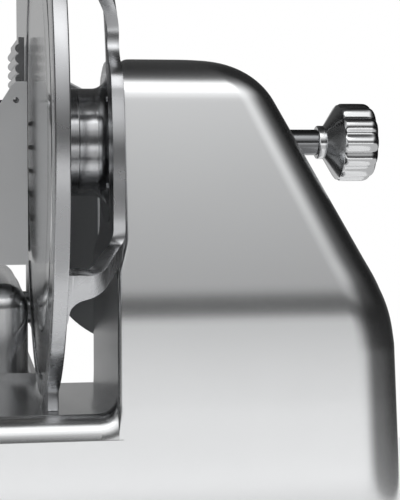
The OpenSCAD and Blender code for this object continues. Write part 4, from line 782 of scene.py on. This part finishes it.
world = bpy.data.worlds.new("studio")
bpy.context.scene.world = world
world.use_nodes = True
tree = world.node_tree
tree.nodes.clear()
ray = add(tree, "ShaderNodeLightPath")
direction = add(tree, "ShaderNodeTexCoord").outputs["Generated"]
heading = add(tree, "ShaderNodeSeparateXYZ", {0: direction})
# Brightness against height, as the sine of the elevation: near is the room behind the camera, far
# the wall in front of the machine
lowest = -1.0
near_steps = (
    (-0.9, 0.12), (-0.6, 0.42), (-0.35, 0.5), (-0.22, 1.25), (-0.145, 1.4), (-0.112, 0.5),
    (-0.075, 0.1), (0.0, 0.06), (0.2, 0.1), (0.29, 0.48), (0.40, 0.46), (0.47, 1.0), (0.72, 1.2),
    (0.87, 0.5), (0.94, 0.12), (1.0, 0.05))
far_steps = ((-1.0, 0.12), (-0.35, 0.2), (-0.15, 0.42), (0.15, 0.42), (0.25, 0.08), (1.0, 0.03))
height = add(tree, "ShaderNodeMapRange", {
    "Value": heading.outputs["Z"], "From Min": lowest, "From Max": 1.0})
shades = []
for steps in (near_steps, far_steps):
    wall = add(tree, "ShaderNodeValToRGB", {0: height.outputs[0]})
    ramp = wall.color_ramp
    while len(ramp.elements) < len(steps):
        ramp.elements.new(1)
    for element, (sine, grey) in zip(ramp.elements, steps):
        element.position = (sine - lowest) / (1 - lowest)
        element.color = (grey, grey, grey, 1)
    shades.append(wall.outputs[0])
# The far wall has a darker curtain at its right, and the two walls meet beside the machine
far_curtain = add(tree, "ShaderNodeMapRange", {
    "Value": heading.outputs["X"], "From Min": 0.12, "From Max": 0.3, "To Min": 1.0, "To Max": 0.2})
far_wall = add(tree, "ShaderNodeMath", {
    0: shades[1], 1: far_curtain.outputs[0]}, operation="MULTIPLY")
ahead = add(tree, "ShaderNodeMapRange", {
    "Value": heading.outputs["Y"], "From Min": -0.25, "From Max": 0.25})
room = add(tree, "ShaderNodeMapRange", {
    "Value": ahead.outputs[0], "To Min": shades[0], "To Max": far_wall.outputs[0]})
# Dark curtains on both sides, with the room's grey floor showing below them
side = add(tree, "ShaderNodeMath", {0: heading.outputs["X"]}, operation="ABSOLUTE")
curtain = add(tree, "ShaderNodeMapRange", {
    "Value": side.outputs[0], "From Min": 0.45, "From Max": 0.8, "To Min": 1.0, "To Max": 0.08})
hung = add(tree, "ShaderNodeMath", {
    0: room.outputs[0], 1: curtain.outputs[0]}, operation="MULTIPLY")
room_floor = add(tree, "ShaderNodeMapRange", {
    "Value": heading.outputs["Z"], "From Min": -0.16, "From Max": -0.24,
    "To Min": 0.0, "To Max": 0.55})
shade = add(tree, "ShaderNodeMath", {
    0: hung.outputs[0], 1: room_floor.outputs[0]}, operation="MAXIMUM")
room_light = add(tree, "ShaderNodeBackground", {"Color": shade.outputs[0], "Strength": 1.0})
even_light = add(tree, "ShaderNodeBackground", {"Color": (1, 1, 1, 1), "Strength": 0.7})
backdrop = add(tree, "ShaderNodeBackground", {"Color": (1, 1, 1, 1), "Strength": 1.0})
shiny = add(tree, "ShaderNodeMath", {
    0: ray.outputs["Is Glossy Ray"], 1: ray.outputs["Is Transmission Ray"]}, operation="MAXIMUM")
lighting = add(tree, "ShaderNodeMixShader", {
    0: shiny.outputs[0], 1: even_light.outputs[0], 2: room_light.outputs[0]})
seen = add(tree, "ShaderNodeMixShader", {
    0: ray.outputs["Is Camera Ray"], 1: lighting.outputs[0], 2: backdrop.outputs[0]})
add(tree, "ShaderNodeOutputWorld", {"Surface": seen.outputs[0]})

spot, target = Vector((-0.3, -1.0, 1.7)), Vector((-0.1, 0.0, 0.2))
lamp_data = bpy.data.lights.new("soft box behind camera", "AREA")
lamp_data.shape = "RECTANGLE"
lamp_data.size, lamp_data.size_y, lamp_data.energy = 1.5, 0.8, 3.5
lamp = placed("soft box behind camera", lamp_data)
lamp.location = spot
lamp.rotation_euler = (target - spot).to_track_quat("-Z", "Y").to_euler()
